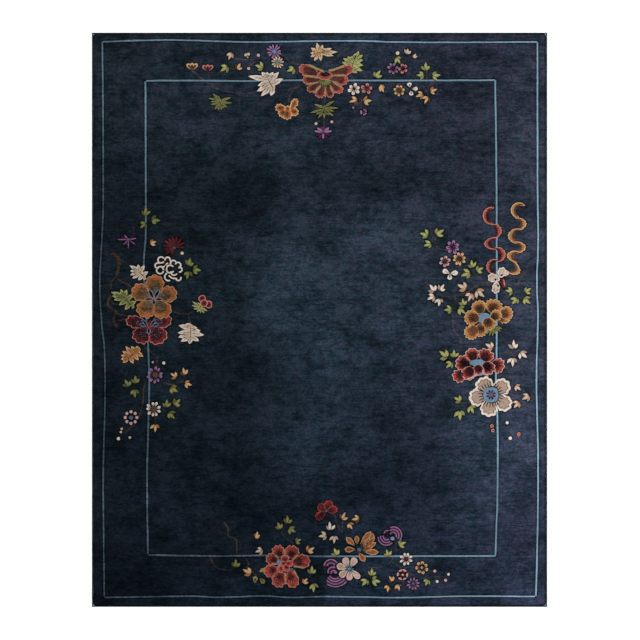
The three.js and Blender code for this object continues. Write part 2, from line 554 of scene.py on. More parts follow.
def large_leaf(leaf):
    """Fingers that start along a rib, each with an edge, a blade and a vein, and a dark
    line between two fingers."""
    fingers = []
    for angle, long in sorted(leaf.places):
        tip = beyond(leaf.x, leaf.y, angle, long)
        along = 0.5 * leaf.rib * math.cos(math.radians(angle - leaf.heading))
        foot = beyond(leaf.x, leaf.y, leaf.heading, along)
        lean, reach = aim(*foot, *tip)
        fingers.append((foot, lean % 360, reach))
    for foot, angle, long in fingers:
        lay(petal(*foot, angle, long, leaf.wide, 0.42, 0.9), leaf.edge)
    palm = 1.4 * leaf.wide
    lay(disc(leaf.x, leaf.y, palm + 0.6 * leaf.rib, palm, leaf.heading), leaf.blade)
    for foot, angle, long in fingers:
        lay(petal(*foot, angle, 0.78 * long, 0.68 * leaf.wide, 0.4, 0.9), leaf.blade, False)
    for foot, angle, long in fingers:
        lay(petal(*foot, angle, 0.7 * long, VEIN_WIDTH, 0.4, 0.6), leaf.vein, carved=False)
    for (a, angle, long), (b, next_angle, next_long) in zip(fingers, fingers[1:]):
        if 0 < next_angle - angle < GAP_SPREAD:
            middle, reach = (angle + next_angle) / 2, 0.62 * min(long, next_long)
            half_way = ((a[0] + b[0]) / 2, (a[1] + b[1]) / 2)
            start = beyond(*half_way, middle, 0.28 * reach)
            lay(petal(*start, middle, reach, GAP_WIDTH, 0.75, 0.7), leaf.gap, carved=False)
    start = beyond(leaf.x, leaf.y, leaf.heading, -0.5 * leaf.rib)
    lay(petal(*start, leaf.heading, leaf.rib, 1.5 * VEIN_WIDTH, 0.4, 0.5), leaf.gap, carved=False)


for leaf in LARGE_LEAVES:
    large_leaf(leaf)

GRAPE_LOBES = table("""
x y angle long wide
-23.4 127.4 168 6.4 4.8
-15.4 129.6 62 7.4 4.2
-15.4 125.2 330 5.8 4.8
-22.2 124.4 225 5.2 4.8
-19.4 123.8 270 6.8 5.8
-19.2 127 90 3.6 4.4
""")
for lobe in GRAPE_LOBES:
    ruffle(lobe, 0, "tan", 9, 0.8, carved=True)
for lobe in GRAPE_LOBES:
    ruffle(lobe, 1.3, "orange", 9, 0.8)
for lobe in GRAPE_LOBES:
    lay(scalloped(*lobe.at, 0.5 * lobe.long, 0.3 * lobe.wide, 9, 0.9), "brown", carved=False)

# %% [markdown]
# ## Small flowers and berries
#
# Asters have narrow rays, and the other small flowers have a few round petals. Both are
# petals set round an eye, so one function takes the number, the shape and the yarns.

# %% Lay the small flowers
# Slim is a petal's width as a share of the room that it has. Gap is the eye's share.
FLOWERS = table("""
x y radius petals turn slim edge fill eye gap
-27.2 161.4 4.6 12 10 0.62 lilac lilac sky 0.30
-25.2 154.7 3.7 11 4 0.66 cream tan sky 0.28
44.2 151.1 3.5 7 15 0.66 lilac plum plum 0.24
50.2 151.1 3.0 5 40 0.70 rose maroon wine 0.24
20.8 138.9 3.7 6 20 0.72 ivory taupe ink 0.22
28.4 139.1 3.4 5 5 0.68 rose maroon plum 0.22
47.9 137.9 3.4 7 10 0.74 tan brown bark 0.36
26.6 124.9 2.1 3 60 0.80 lilac plum plum 0.20
-98.9 -33.2 5.1 10 16 0.66 lilac plum moss 0.34
-99.8 -53.8 4.6 9 20 0.66 ivory taupe moss 0.40
80.2 43.7 4.3 7 30 0.72 lilac plum plum 0.22
75.5 35.1 3.5 6 18 0.70 pink maroon umber 0.26
84.1 36.7 4.0 8 12 0.72 tan brown bark 0.28
52.1 -144 4.0 8 22 0.62 ivory taupe wine 0.30
61.5 -149.1 3.9 7 30 0.74 tan brown bark 0.40
50 -153.4 3.4 6 0 0.84 pink rose wine 0.60
56.4 -158.8 4.0 10 10 0.60 lilac plum slate 0.24
""")


def small_flower(flower):
    """Petals round an eye. Each has an edge yarn and a smaller part in a second yarn."""
    count = round(flower.petals)
    foot = flower.gap * flower.radius
    long = flower.radius - foot
    wide = flower.slim * 2 * math.pi * (foot + 0.62 * long) / count
    blunt = 0.55 if count < 9 else 0.8
    petals = []
    for i in range(count):
        lean = chance(flower.x + 3 * i, flower.y, 50 / count)
        reach = long * (1 + chance(flower.x, flower.y + 3 * i, 0.13))
        petals.append((flower.turn + 360 * i / count + lean, reach))
    for heading, reach in petals:
        start = beyond(*flower.at, heading, foot)
        lay(petal(*start, heading, reach, wide, 0.62, blunt), flower.edge)
    for heading, reach in petals:
        start = beyond(*flower.at, heading, foot - 0.1)
        lay(petal(*start, heading, 0.68 * reach, 0.42 * wide, 0.4, 0.7), flower.fill, False)
    lay(disc(*flower.at, 1.9 * foot), flower.eye)


for flower in FLOWERS:
    small_flower(flower)
for x, y in ((61.5, -149.1), (50, -153.4)):
    lay(disc(x, y, 1.3), "pink")

# Flowers with a petal missing, or with petals that all lean one way. Behind the bar is
# each petal's direction and length.
PETALS = table("""
x y wide yarn | petals
2.2 112.8 1.3 lilac | 172 5.4, 8 5.4
2.2 113.2 1.3 lilac | 148 4.4, 32 4.4
2.2 112.6 1.3 plum | 200 4.8, 340 4.8
2.2 112.4 1.3 plum | 232 4.2, 308 4.2
2.2 112.4 1.2 lilac | 270 3.6
2.2 113.6 1.6 plum | 112 3, 68 3
54.4 139.8 2.8 ivory | 100 3
55.8 138.8 2.4 ivory | 5 3.4
55.0 137.8 2.6 ivory | 275 3
54.4 139.8 0.8 umber | 100 2.2
55.8 138.8 0.7 taupe | 5 2.2
55.0 137.8 0.7 umber | 275 2.2
78.2 27.8 3.0 ivory | 152 4.6
78.6 27.8 3.0 ivory | 8 4.8
78.4 27.6 3.0 ivory | 268 3.6
78.2 27.8 0.8 taupe | 152 3
78.6 27.8 0.8 taupe | 8 3
78.4 27.6 0.8 umber | 268 2.4
-114.8 48.1 1.3 plum | 178 7, 132 4.4
-114.8 48.1 1.0 plum | 158 5.2
-114.8 48.1 1.3 plum | 222 4.8
-114.8 48.1 1.2 plum | 268 5.6
-114.8 48.1 1.3 plum | 325 5.2, 12 5
-114.8 48.1 1.1 plum | 40 4.2, 245 3.6
-114.8 48.1 0.5 lilac | 178 6.6, 132 4, 222 4.4, 268 5.2, 325 4.8, 12 4.6
-87.2 43.4 1.7 wine | 100 7.6, 78 7.4, 122 7.2, 54 8.2, 145 7.8, 28 7.2, 168 7.6, 3 6.4, 192 7
-87.2 43.4 2.2 wine | 216 7, 248 4.8
-87.2 43.4 0.6 maroon | 100 7, 78 6.8, 122 6.6, 54 7.6, 145 7.2, 28 6.6, 168 7, 3 5.8, 192 6.4
-87.2 43.4 0.8 maroon | 216 6.4, 248 4.2
-36.3 -151.6 2.6 leaf | 25 3.6
-38.9 -158.4 3.0 leaf | 85 4.2
-36 -155.4 2.8 leaf | 315 4.4
-38.9 -157.8 1.2 olive | 85 2.4
-35.6 -155.8 1.2 olive | 315 2.4
""")
for row in PETALS:
    for angle, long in row.places:
        lay(petal(*row.at, angle, long, row.wide, 0.66, 0.6), row.yarn)
DOTS = table("""
x y across yarn
-44.4 159.3 1.7 cream
-42.8 159.8 1.8 cream
-43.3 157.9 1.1 taupe
-36.8 159.1 1.9 pink
-42.7 151.2 1.9 pink
-36 157.4 1.2 plum
46.9 160.4 2.2 cream
-2.1 118 1.8 cream
7.4 119.1 1.7 pink
20.3 127.6 1.4 lilac
-114.8 48.3 1.5 slate
-87.3 43.3 1.6 slate
-82.7 40 1.9 cream
-100.3 -25.5 1.3 pink
-93.7 -26 1.8 ivory
-119 -65.6 1.6 tan
-119.5 -67.5 1.4 cream
-121 -71.5 2.0 ivory
-114.1 -70.8 1.6 cream
103.7 -63.9 2.1 rose
104.2 -66.6 2.1 rose
119.8 -68.8 2.3 rose
112.8 -61.9 1.9 ivory
114.7 -71.2 2.1 ivory
103.8 -63.9 1.1 red
104.3 -66.6 1.1 red
119.9 -68.8 1.2 red
69.3 -151.2 1.8 pink
75.8 -156.7 1.8 pink
77.6 -153.1 1.6 ivory
70.7 -157.4 1.7 ivory
""")
for row in DOTS:
    lay(disc(*row.at, row.across), row.yarn)
DAISY = SimpleNamespace(x=-113.4, y=-58.8, radius=3.5, dots=8)
for i in range(DAISY.dots):
    lay(disc(*beyond(DAISY.x, DAISY.y, 360 / DAISY.dots * i + 90, DAISY.radius), 1.9), "pink")
lay(disc(DAISY.x, DAISY.y, 2.6), "slate")
BERRY = 4.6
for x, y in ((-70.6, 12.6), (-66.8, 9.2), (-69.5, 10)):
    lay(disc(x, y, BERRY), "rose")
    lay(disc(x, y, 0.74 * BERRY), "maroon", carved=False)
    lay(disc(x, y, 0.34 * BERRY), "wine", carved=False)
print(len(drawing), "shapes with the small flowers")

# %% [markdown]
# ## Peonies
#
# A peony is a ring of broad petals, each with a pale scalloped rim, a coloured blade and a
# dark foot. Outlines of falling size, one in the other, make one petal, and in two of the
# flowers the foot is a fan of dark fingers. The rows of each table are in the order in
# which the petals overlap.

# %% Lay the peonies
RIM = 0.45  # cm of pale yarn round a petal
SPECK = 0.6  # cm across


def fan(row, long, wide, yarn, heart):
    """Five dark petals that spread from the foot of a peony's petal."""
    foot = beyond(*row.at, -0.52 * long)
    for lean, reach in ((-26, 0.84), (26, 0.84), (-13, 0.96), (13, 0.96), (0, 1.0)):
        finger = reach * heart * long
        lay(petal(*foot, row.angle + lean, finger, 0.4 * wide, 0.64, 0.6), yarn, carved=False)


def peony(rows, yarns, frills=9, frill=0.9, heart=0.66, specks=()):
    """Petals with a rim, a blade and a heart. Heart is the dark part's share of a petal,
    and specks are yarns of the single knots that dot it. With a fourth yarn, for the shade
    on the blade, the heart is a fan."""
    rim, blade, dark, *shade = yarns
    for row in rows:
        long, wide = row.long - 1.4 * RIM, row.wide - 2 * RIM
        ruffle(row, 0, rim, frills, frill, carved=True)
        middle = beyond(*row.at, -0.5 * RIM)
        lay(scalloped(*middle, row.angle, long, wide, frills, frill), blade, carved=False)
        for yarn in shade:
            middle = beyond(*row.at, -0.12 * long)
            size = (0.76 * long, 0.74 * wide)
            lay(scalloped(*middle, row.angle, *size, frills, frill), yarn, carved=False)
            fan(row, long, wide, dark, heart)
        if shade:
            continue
        middle = beyond(*row.at, -(0.97 - heart) * long / 2)
        size = (heart * long, heart * wide)
        lay(scalloped(*middle, row.angle, *size, frills + 4, 1.2 * frill), dark, carved=False)
        count = 7 * len(specks)
        for i in range(count):
            away = 0.45 * heart * wide * math.sqrt((i + 1) / count)
            spot = beyond(*middle, row.angle + 137.5 * i, away)
            lay(disc(*spot, SPECK), specks[i % len(specks)], carved=False)


def colour_stroke(knots, wide, yarn):
    """A short smooth stroke of even width."""
    stroke([(x, y, wide) for x, y in smooth(knots, STITCH)], yarn, carved=False)


def lenses(rows):
    """Dark pointed ovals with a pale outline, which meet in the middle of a flower."""
    for row in rows:
        lay(petal(*row.at, row.long, row.wide, 0.55, 0.9), "sky")
        foot = beyond(*row.at, 0.3)
        lay(petal(*foot, row.angle, row.long - 0.7, row.wide - 0.8, 0.55, 0.9), "ink", False)


def streaks_in(rows, yarn, leans=(-36, -18, 0, 18, 36), start=0.34, reach=0.58, wide=0.55):
    """Thin dark lines that spread over each petal from its foot."""
    for row in rows:
        foot = beyond(*row.at, -start * row.long)
        for lean in leans:
            lay(petal(*foot, row.angle + lean, reach * row.long, wide, 0.6, 0.6), yarn, False)


MAROON_PEONY = table("""
x y angle long wide
-110.2 -1.4 168 12.6 7.4
-94.8 -0.8 14 11.8 8.4
-107.0 -9.2 240 10.2 10.6
-97.4 -9.4 300 10.6 11.2
""")
lay(disc(-102.4, -4.4, 15, 8), "maroon")
peony(MAROON_PEONY, ("rose", "maroon", "wine"), heart=0.72, specks=("slate", "maroon", "lilac"))
lay(disc(-102.5, -4.6, 6.4, 4.6), "maroon")
MAROON_LENSES = table("""
x y angle long wide
-103.6 -3.8 163 5.2 1.9
-101.4 -3.8 17 5.2 1.9
-103.4 -4.2 124 5.4 2.0
-101.8 -4.2 54 5.6 2.0
-102.7 -4.4 270 4.4 2.2
""")
lenses(MAROON_LENSES)

ORANGE_PEONY = table("""
x y angle long wide
-107.4 16.4 160 11.6 10.4
-104.3 6.6 236 11.0 11.0
-94.9 6.4 304 11.4 11.0
-91.6 15.2 14 11.8 9.8
-99 20.8 92 12.4 10.8
""")
lay(disc(-99.4, 11.6, 12), "orange")
peony(ORANGE_PEONY, ("sand", "orange", "moss"), heart=0.7, specks=("bark", "slate", "orange"))
ORANGE_LENSES = table("""
x y angle long wide
-100.0 12.6 183 5.2 2.0
-99.2 12.6 355 5.0 2.0
-99.9 12.8 116 6.2 2.5
-99.3 12.8 61 6.2 2.5
-99.6 12.4 270 3.8 2.4
""")
lenses(ORANGE_LENSES)

FAN_PEONY = table("""
x y angle long wide
-6.4 149.6 158 12.6 6.8
13.2 149.3 17 14.8 6.6
-5.0 144.4 181 10.6 5.4
12.2 144.5 352 10.4 6.4
-3.4 139.9 207 8.8 5.2
10.0 140 320 9.6 6.0
0.7 137.4 252 8.2 6.4
6.0 137.6 284 8.2 5.4
""")
peony(FAN_PEONY, ("rose", "red", "umber"), frills=10, frill=0.7, heart=0.78)
streaks_in(FAN_PEONY, "maroon", leans=(-12, -4, 4, 12), start=0.36, reach=0.62, wide=0.42)
FAN_LINES = table("""
x y tip_x tip_y
-0.4 145.4 -10.6 147.2
-0.4 142.9 -8.4 141.4
1.0 140.8 -3.6 136.0
3.6 139.9 3.5 133.6
6.2 140.8 8.6 135.6
7.6 143.4 13.8 139.4
7.2 147.0 16.2 146.9
""")
for row in FAN_LINES:
    lay(petal(*row.at, row.long, 1.1, 0.5, 0.5), "hay", carved=False)
for angle in range(195, 350, 22):
    lay(petal(3.4, 144.8, angle, 4.8, 2.0, 0.6, 0.7), "olive")
    lay(petal(3.4, 144.6, angle, 4.0, 0.9, 0.6, 0.7), "leaf", carved=False)
lay(scalloped(3.1, 146.8, 90, 5.2, 9.2, 11, 0.8), "rose")
lay(scalloped(3.1, 146.8, 90, 4.2, 8.2, 11, 0.8), "red", carved=False)
lay(scalloped(3.4, 147.6, 90, 2.8, 6.0, 9, 0.9), "wine", carved=False)
colour_stroke([(-6.6, 153.4), (-1.4, 151), (2.4, 149.4)], 1.2, "hay")
colour_stroke([(5.4, 149.8), (9, 150.6), (15, 152.6)], 1.2, "hay")
lay(disc(3.8, 149.2, 2.4, 1.8), "slate")
lay(disc(3.9, 148.7, 1.3), "ink")

for i, long in enumerate((5.8, 7.0, 7.4, 7.2, 6.0, 6.2, 6.4, 6.4)):
    lay(petal(104.2, -2.8, 222 + 16 * i, long, 1.2, 0.5, 0.6), "leaf")
    lay(petal(104.2, -2.8, 222 + 16 * i, 0.8 * long, 0.5, 0.5, 0.6), "olive", carved=False)
GOLD_PEONY_BACK = table("""
x y angle long wide
109.6 0.4 352 9.6 4.6
95.9 7.5 118 8.0 8.6
112.3 3.9 12 8.0 8.2
104.8 8.0 78 8.6 10.0
""")
GOLD_PEONY_FRONT = table("""
x y angle long wide
106.0 2.4 40 7.4 6.8
91.7 1.2 175 9.0 8.8
101.6 -2.6 292 7.8 8.6
96.6 -6.3 258 7.8 7.6
91.6 -7.4 222 9.0 8.6
""")
GOLD_YARNS = ("tan", "gold", "brown", "rust")
peony(GOLD_PEONY_BACK, GOLD_YARNS, frills=13, heart=0.58)
streaks_in(GOLD_PEONY_BACK, "bark")
lay(disc(98.9, 0.8, 8.8, 6.6), "sky")
peony(GOLD_PEONY_FRONT, GOLD_YARNS, frills=13, heart=0.58)
streaks_in(GOLD_PEONY_FRONT, "bark")

RED_PEONY_BACK = table("""
x y angle long wide
100.2 -21.5 62 7.8 9.4
91.9 -21 112 7.8 8.2
86.3 -26.1 158 8.8 9.0
107.2 -27.5 348 8.0 9.0
""")
RED_PEONY_FRONT = table("""
x y angle long wide
84.2 -33.6 215 8.4 8.0
101.4 -29 300 8.2 8.4
95.5 -30.2 272 6.4 7.6
89.6 -32.1 240 8.4 8.2
""")
RED_YARNS = ("pink", "red", "wine", "maroon")
peony(RED_PEONY_BACK, RED_YARNS, heart=0.56)
streaks_in(RED_PEONY_BACK, "wine")
lay(disc(95, -26, 9.4, 4.2), "sky")
peony(RED_PEONY_FRONT, RED_YARNS, heart=0.56)
streaks_in(RED_PEONY_FRONT, "wine")
colour_stroke([(98.4, -29.8), (98.6, -32.4), (101.6, -33.2)], 0.8, "pink")
colour_stroke([(88.6, -35.8), (91.8, -34.6), (95, -32.9)], 0.8, "pink")
colour_stroke([(95.8, -33.2), (98.2, -33)], 0.8, "sky")

LOW_PEONY = table("""
x y angle long wide
-24.7 -139.5 115 7.8 7.4
-16.5 -139.7 72 7.8 8.4
-28.5 -144 160 7.6 6.8
-11.1 -145.4 4 10.8 8.4
-29.3 -151 200 8.4 7.6
-24.2 -156.1 250 10.0 8.2
-16.6 -156 288 10.4 7.8
""")
peony(LOW_PEONY, ("rose", "red", "maroon"), frill=0.8, heart=0.56)
streaks_in(LOW_PEONY, "wine")
LOW_STROKES = table("""
wide | places
0.9 | -20.8 -138, -20.9 -142
0.9 | -13 -141.4, -16.4 -144.6
0.9 | -15.6 -148.4, -9.4 -149
0.9 | -20.6 -152, -20.5 -159
0.9 | -15.4 -150.6, -12.9 -155.4
0.9 | -26.6 -141.4, -24.4 -143.4
0.9 | -29 -146.9, -25.4 -147
""")
for row in LOW_STROKES:
    colour_stroke(row.places, row.wide, "hay")
lay(disc(-24.4, -146, 2.6, 4.0), "sky")
lay(disc(-16.8, -150.2, 2.2, 1.6), "slate")
LOW_CURLS = table("""
x y angle long wide
-23.4 -149.9 215 4.4 4.6
-20.8 -143.7 90 4.4 5.0
-21.9 -146.7 200 3.4 3.6
-19.9 -149.3 260 4.4 4.6
-17.9 -146.6 0 4.2 4.0
""")
peony(LOW_CURLS, ("rose", "red", "maroon"), frills=0, frill=0, heart=0.6)
SMALL_RED = table("""
x y angle long wide
1.5 -113.2 128 6.0 5.2
5.4 -111.8 76 6.2 5.2
7.8 -114.3 12 6.2 4.6
0.6 -117.6 224 6.8 4.8
""")
peony(SMALL_RED, ("red", "maroon", "wine"), frills=9, frill=0.6, heart=0.6)
lay(disc(4.1, -115.2, 1.3), "slate")
print(len(drawing), "shapes with the peonies")

# %% [markdown]
# ## The white flower
#
# Its five petals have a pale scalloped rim, a thin dark line, a grey-brown blade and dark
# lines that run out from a blue heart. Those lines are thin petals themselves.

# %% Lay the white flower
WHITE = (103.1, -45.1)
WHITE_PETALS = table("""
x y angle long wide
99.4 -39.8 122 10.8 10.8
109.2 -40.8 36 11.4 10.0
110.4 -49.8 324 11.0 9.6
102.0 -52.8 265 10.8 10.2
95.2 -46.6 190 10.4 10.2
""")
for row in WHITE_PETALS:
    ruffle(row, 0, "ivory", 9, 0.8, carved=True)
for row in WHITE_PETALS:
    middle = beyond(*row.at, -0.3)
    for less, yarn in ((1.9, "cream"), (2.6, "umber"), (3.3, "taupe")):
        size = (row.long - less, row.wide - less)
        lay(scalloped(*middle, row.angle, *size, 9, 0.8), yarn, carved=False)
    for lean in (-34, -17, 0, 17, 34):
        foot = beyond(*WHITE, row.angle + lean, 4.2)
        lay(petal(*foot, row.angle + 0.8 * lean, 3.9, 0.6, 0.4, 0.5), "ink", carved=False)
HEART = 4.5
CORNERS = 28
square = []
for i in range(CORNERS):
    turn = 2 * math.pi * i / CORNERS
    cos, sin = math.cos(turn), math.sin(turn)
    reach = HEART / (abs(cos) ** 3 + abs(sin) ** 3) ** (1 / 3)
    square.append((WHITE[0] + reach * cos, WHITE[1] + reach * sin))
lay(disc(*WHITE, 2 * HEART + 1.4), "umber", carved=False)
lay(square, "sky")
for i, yarn in enumerate(("plum", "maroon") * 4):
    angle = 45 * i + 22
    lay(petal(*beyond(*WHITE, angle, 0.5), angle, 2.7, 1.3, 0.6, 0.7), yarn, carved=False)
lay(disc(*WHITE, 1.0), "ink", carved=False)

# %% [markdown]
# ## Chrysanthemums, a lotus and a cream flower
#
# A white chrysanthemum is drawn with open curls, so the ground shows through it, and two
# purple ones are nested arcs. Both are strokes along parts of circles. The lotus and the
# cream flower beside it have separate petals, each with a pale edge.

# %% Lay the curled and the pointed flowers
CURLS = table("""
x y radius start sweep
-95.3 36.0 1.85 30 300
-91.4 36.0 1.6 -20 215
-87.9 34.0 1.75 10 190
-85.1 32.9 1.65 -80 250
-97.3 32.6 1.6 50 240
-95.9 29.8 2.1 0 345
-94.2 33.0 1.3 200 140
-91.0 32.4 1.5 90 150
-89.8 30.5 2.3 40 290
-84.1 30.1 1.4 -110 220
-87.4 28.8 2.0 170 160
-90.8 25.8 2.3 110 185
-86.9 29.4 4.6 215 70
-84.9 25.2 1.6 190 190
""")
for row in CURLS:
    arc(*row.at, row.radius, row.start, row.sweep, 0.85, "ivory")
for x, y in ((-93, 34), (-92.6, 31.8)):
    lay(disc(x, y, 1.2, 2.0), "bark", carved=False)
PURPLE_ARCS = table("""
x y radius start sweep
6.9 -148.4 4.2 25 155
6.9 -148.8 2.6 20 150
8.0 -151.6 2.9 55 150
8.6 -152.4 1.6 30 170
9.3 -152.2 3.7 205 110
9.4 -152.2 5.2 208 115
9.5 -152.2 6.8 215 115
9.6 -152.2 8.4 228 100
40.2 -130.6 5.0 175 145
40.3 -130.5 3.5 165 150
40.4 -130.4 2.0 155 160
44.4 -129.6 5.0 -45 160
44.3 -129.7 3.5 -40 170
44.2 -129.9 2.1 -30 190
40.8 -128.8 2.0 60 120
""")
for row in PURPLE_ARCS:
    arc(*row.at, row.radius - 0.3, row.start, row.sweep, 1.7, "plum")
for row in PURPLE_ARCS:
    arc(*row.at, row.radius, row.start + 6, row.sweep - 12, 0.6, "lilac")
lay(disc(9.6, -152, 1.9, 1.5), "lilac")
lay(disc(43.9, -131.6, 2.4), "sky")


def pointed(rows, yarns, broad, blunt):
    """Separate petals, each given by its foot and its tip, with an edge and a blade."""
    edge, blade = yarns
    for row in rows:
        lay(petal(*row.at, row.long, row.wide, broad, blunt), edge)
        foot = beyond(*row.at, 0.12 * row.long)
        lay(petal(*foot, row.angle, 0.8 * row.long, 0.7 * row.wide, broad, blunt), blade, False)


LOTUS = table("""
x y tip_x tip_y wide
24.2 -135.4 31.0 -127.3 3.4
24.6 -136.2 28.8 -132.2 2.6
30.6 -136 31.9 -128.2 3.6
27.4 -138.6 34.0 -133.8 2.6
28.6 -136.8 28.9 -132.6 2.4
21.6 -136.2 16.0 -130.8 3.4
22.6 -135.4 22.4 -129.8 3.0
21.8 -138.2 15.0 -138.2 3.6
26.4 -139.6 35.6 -139.8 3.6
23.4 -139.8 27.4 -145.4 3.6
27.2 -136.4 33.4 -131.0 2.4
25.6 -137.4 31.2 -134.4 2.2
25.2 -138.4 31.6 -137.2 2.4
24.6 -136.8 27.4 -133.0 2.0
""")
pointed(LOTUS, ("sand", "orange"), 0.62, 0.8)
for row in LOTUS:
    lay(petal(*row.at, 3.6, 0.5, 0.5, 0.6), "brown", carved=False)
for angle in (4, 18, 32, 46, 60, 74):
    lay(petal(24.4, -138.2, angle, 5.2, 0.5, 0.6, 0.6), "bark", carved=False)
lay(disc(23.9, -138.3, 2.6), "slate")
CREAM_FLOWER = table("""
x y tip_x tip_y wide
17.4 -149.0 15.0 -143.0 4.2
18.8 -148.8 21.8 -143.2 4.2
16.8 -149.6 10.4 -147.8 4.2
17.0 -150.4 12.2 -154.4 4.2
18.2 -150.6 18.0 -156.7 3.8
18.8 -150.2 24.2 -155.6 3.8
""")
pointed(CREAM_FLOWER, ("cream", "pink"), 0.68, 0.5)
for x, y, angle in ((16.8, -149.6, 164), (17.0, -150.4, 220)):
    lay(petal(*beyond(x, y, angle, 1.2), angle, 4.8, 2.6, 0.68, 0.5), "taupe", False)
for row in CREAM_FLOWER:
    for lean in (-7, 7):
        lay(petal(row.x, row.y, row.angle + lean, 4.2, 0.45, 0.5, 0.6), "taupe", carved=False)
for angle in range(0, 360, 40):
    lay(petal(18, -149.8, angle, 3.0, 0.7, 0.6, 0.6), "slate")
lay(disc(18, -149.8, 1.5), "sky")

# %% [markdown]
# ## Ribbons
#
# Two ribbons rise from a white knot and swing from side to side. Each bow of a ribbon is
# a crescent: a pale outer edge in frills, a coloured face, and a dark shade along the
# smooth inner edge.

# %% Lay the ribbons
# Each ribbon starts in a hook, part of a circle. Each row is a bow: where it starts and
# ends, and how far its outer and its inner edge stand off the straight line between the
# two. To the right is negative.
RED_HOOK = SimpleNamespace(x=103.6, y=62.6, radius=5.4, start=75, sweep=200)
RED_RIBBON = table("""
x y tip_x tip_y outer inner
105.2 57.7 105.9 49.2 -4.0 -0.3
104.9 49.6 105.2 42.2 5.9 2.4
107.0 43.7 108.2 34.9 -4.3 -0.4
105.6 36.5 104.2 27.4 4.5 1.5
""")
GOLD_HOOK = SimpleNamespace(x=119.9, y=65.9, radius=4.8, start=40, sweep=228)
GOLD_RIBBON = table("""
x y tip_x tip_y outer inner
119.2 61.5 119.6 53.6 -4.9 -1.5
119.2 54.9 118.6 45.7 5.4 1.6
118.8 47.1 118.8 40.0 -5.2 -1.7
118.6 41.5 117.4 34.6 5.2 1.2
117.0 35.2 112.6 28.6 -6.6 -3.2
""")
RIBBON_RIM = 0.7
HOOK_WIDTH = 3.0
SHADE_FROM = 0.62  # the share of a ribbon's width at which its shade starts
BLUNT = 1.7  # how far a bow's inner edge starts past the line, which squares its ends


def ribbon_part(outer, inner, rim, shade, yarns):
    """A part of a ribbon from two edges. Each edge is a function that gives points for
    how far it is moved in and how much its ends are cut short."""
    edge, face, dark = yarns
    lay(outer(0, 0) + inner(0, 0)[::-1], edge)
    lay(outer(rim, 0.6 * rim) + inner(0, 0.6 * rim)[::-1], face, carved=False)
    lay(outer(shade, rim) + inner(0, rim)[::-1], dark, carved=False)


def bow(row, yarns):
    """One bow of a ribbon, from its pale outer edge to the shade along its inner edge."""
    count = round((row.long + abs(row.outer)) / STITCH)
    side = math.copysign(1, row.outer)

    def curve(off, start, frill, power, short):
        points = []
        for i in range(count + 1):
            t = i / count
            swell = math.sin(math.pi * t) ** power
            wave = frill * (abs(math.sin(5 * math.pi * t)) - 0.5) * swell
            across = start + (off - start) * swell + side * wave
            points.append((short + (row.long - 2 * short) * t, -across))
        return turned(points, *row.at)

    def outer(less, short):
        return curve(row.outer - side * less, 0, 0.8, 0.5, short)

    def inner(less, short):
        return curve(row.inner + side * less, -side * BLUNT, 0, 0.7, short)

    ribbon_part(outer, inner, RIBBON_RIM, SHADE_FROM * abs(row.outer - row.inner), yarns)


def hook(row, yarns):
    """The top of a ribbon: a crescent with a thin tip."""
    count = round(math.radians(row.sweep) * row.radius / STITCH)

    def curve(off, short):
        trim = math.degrees(short / row.radius)
        points = []
        for i in range(count + 1):
            turn = row.start + trim + (row.sweep - 2 * trim) * i / count
            points.append(beyond(row.x, row.y, turn, row.radius - off(i / count)))
        return points

    def thick(t):
        return HOOK_WIDTH * math.sin(math.pi * (0.04 + 0.9 * t)) ** 0.6

    def outer(less, short):
        return curve(lambda t: less * thick(t) / HOOK_WIDTH, short)

    def inner(less, short):
        return curve(thick, short)

    ribbon_part(outer, inner, RIBBON_RIM, SHADE_FROM * HOOK_WIDTH, yarns)


RED_FACES = ("rose", "red", "wine")
GOLD_FACES = ("tan", "gold", "brown")
RIBBONS = ((RED_HOOK, RED_RIBBON, RED_FACES), (GOLD_HOOK, GOLD_RIBBON, GOLD_FACES))
for top, rows, yarns in RIBBONS:
    hook(top, yarns)
    for row in rows:
        bow(row, yarns)
KNOT = table("""
x y angle long wide
105.0 25.2 160 7.4 4.4
103.6 24.2 150 4.6 3.0
109.6 28.4 70 6.2 5.0
111.8 28.0 20 4.0 3.4
106.2 19.4 262 7.0 4.6
""")
lay(petal(109.6, 25, 282, 6.4, 2.6), "maroon")
lay(petal(110.6, 25, 282, 5.6, 0.9), "rose")
for row in KNOT:
    ruffle(row, 0, "ivory", 7, 0.7, carved=True)
for row in KNOT:
    ruffle(row, 1.4, "taupe", 7, 0.8)
    foot = beyond(*row.at, -0.3 * row.long)
    for lean in (-30, 0, 30):
        lay(petal(*foot, row.angle + lean, 0.66 * row.long, 0.9, 0.6, 0.6), "cream", False)
for x, y in ((109.6, 26.8), (105.8, 24.2), (107.4, 20.6)):
    lay(disc(x, y, 1.3), "ink", carved=False)
print(len(drawing), "shapes in the whole design")

# %% [markdown]
# ## From outlines to a mesh
#
# The wool has no image on it: every flower is a piece of the mesh. The outlines go into
# one triangulation, which keeps each of them as edges. A real outline is a row of knots,
# so first a little noise roughens it. Around each carved shape runs a second row of
# points, which leaves room for the groove that the weaver cuts with scissors.

# %% Triangulate the face
KNOT_STEP = 0.5  # cm between points of an outline on the face
LINE_STEP = 1.3  # and of a border line
BACK_STEP = 1.5
LEAST_BACK = 3.2  # cm across, the smallest shape that is drawn on the back
WANDER = 0.12  # cm that an outline strays
GROOVE_WIDTH = 0.85
FREE_STEP = 4.0  # cm between the loose points on bare ground
FREE_FROM = 1.4  # cm that they stay off an outline
FREE_MARGIN = 2.5  # and off the rug's edge
CORNER = SimpleNamespace(radius=12 * MM, steps=5, least=0.2)
EDGE_STEP = 20 * MM


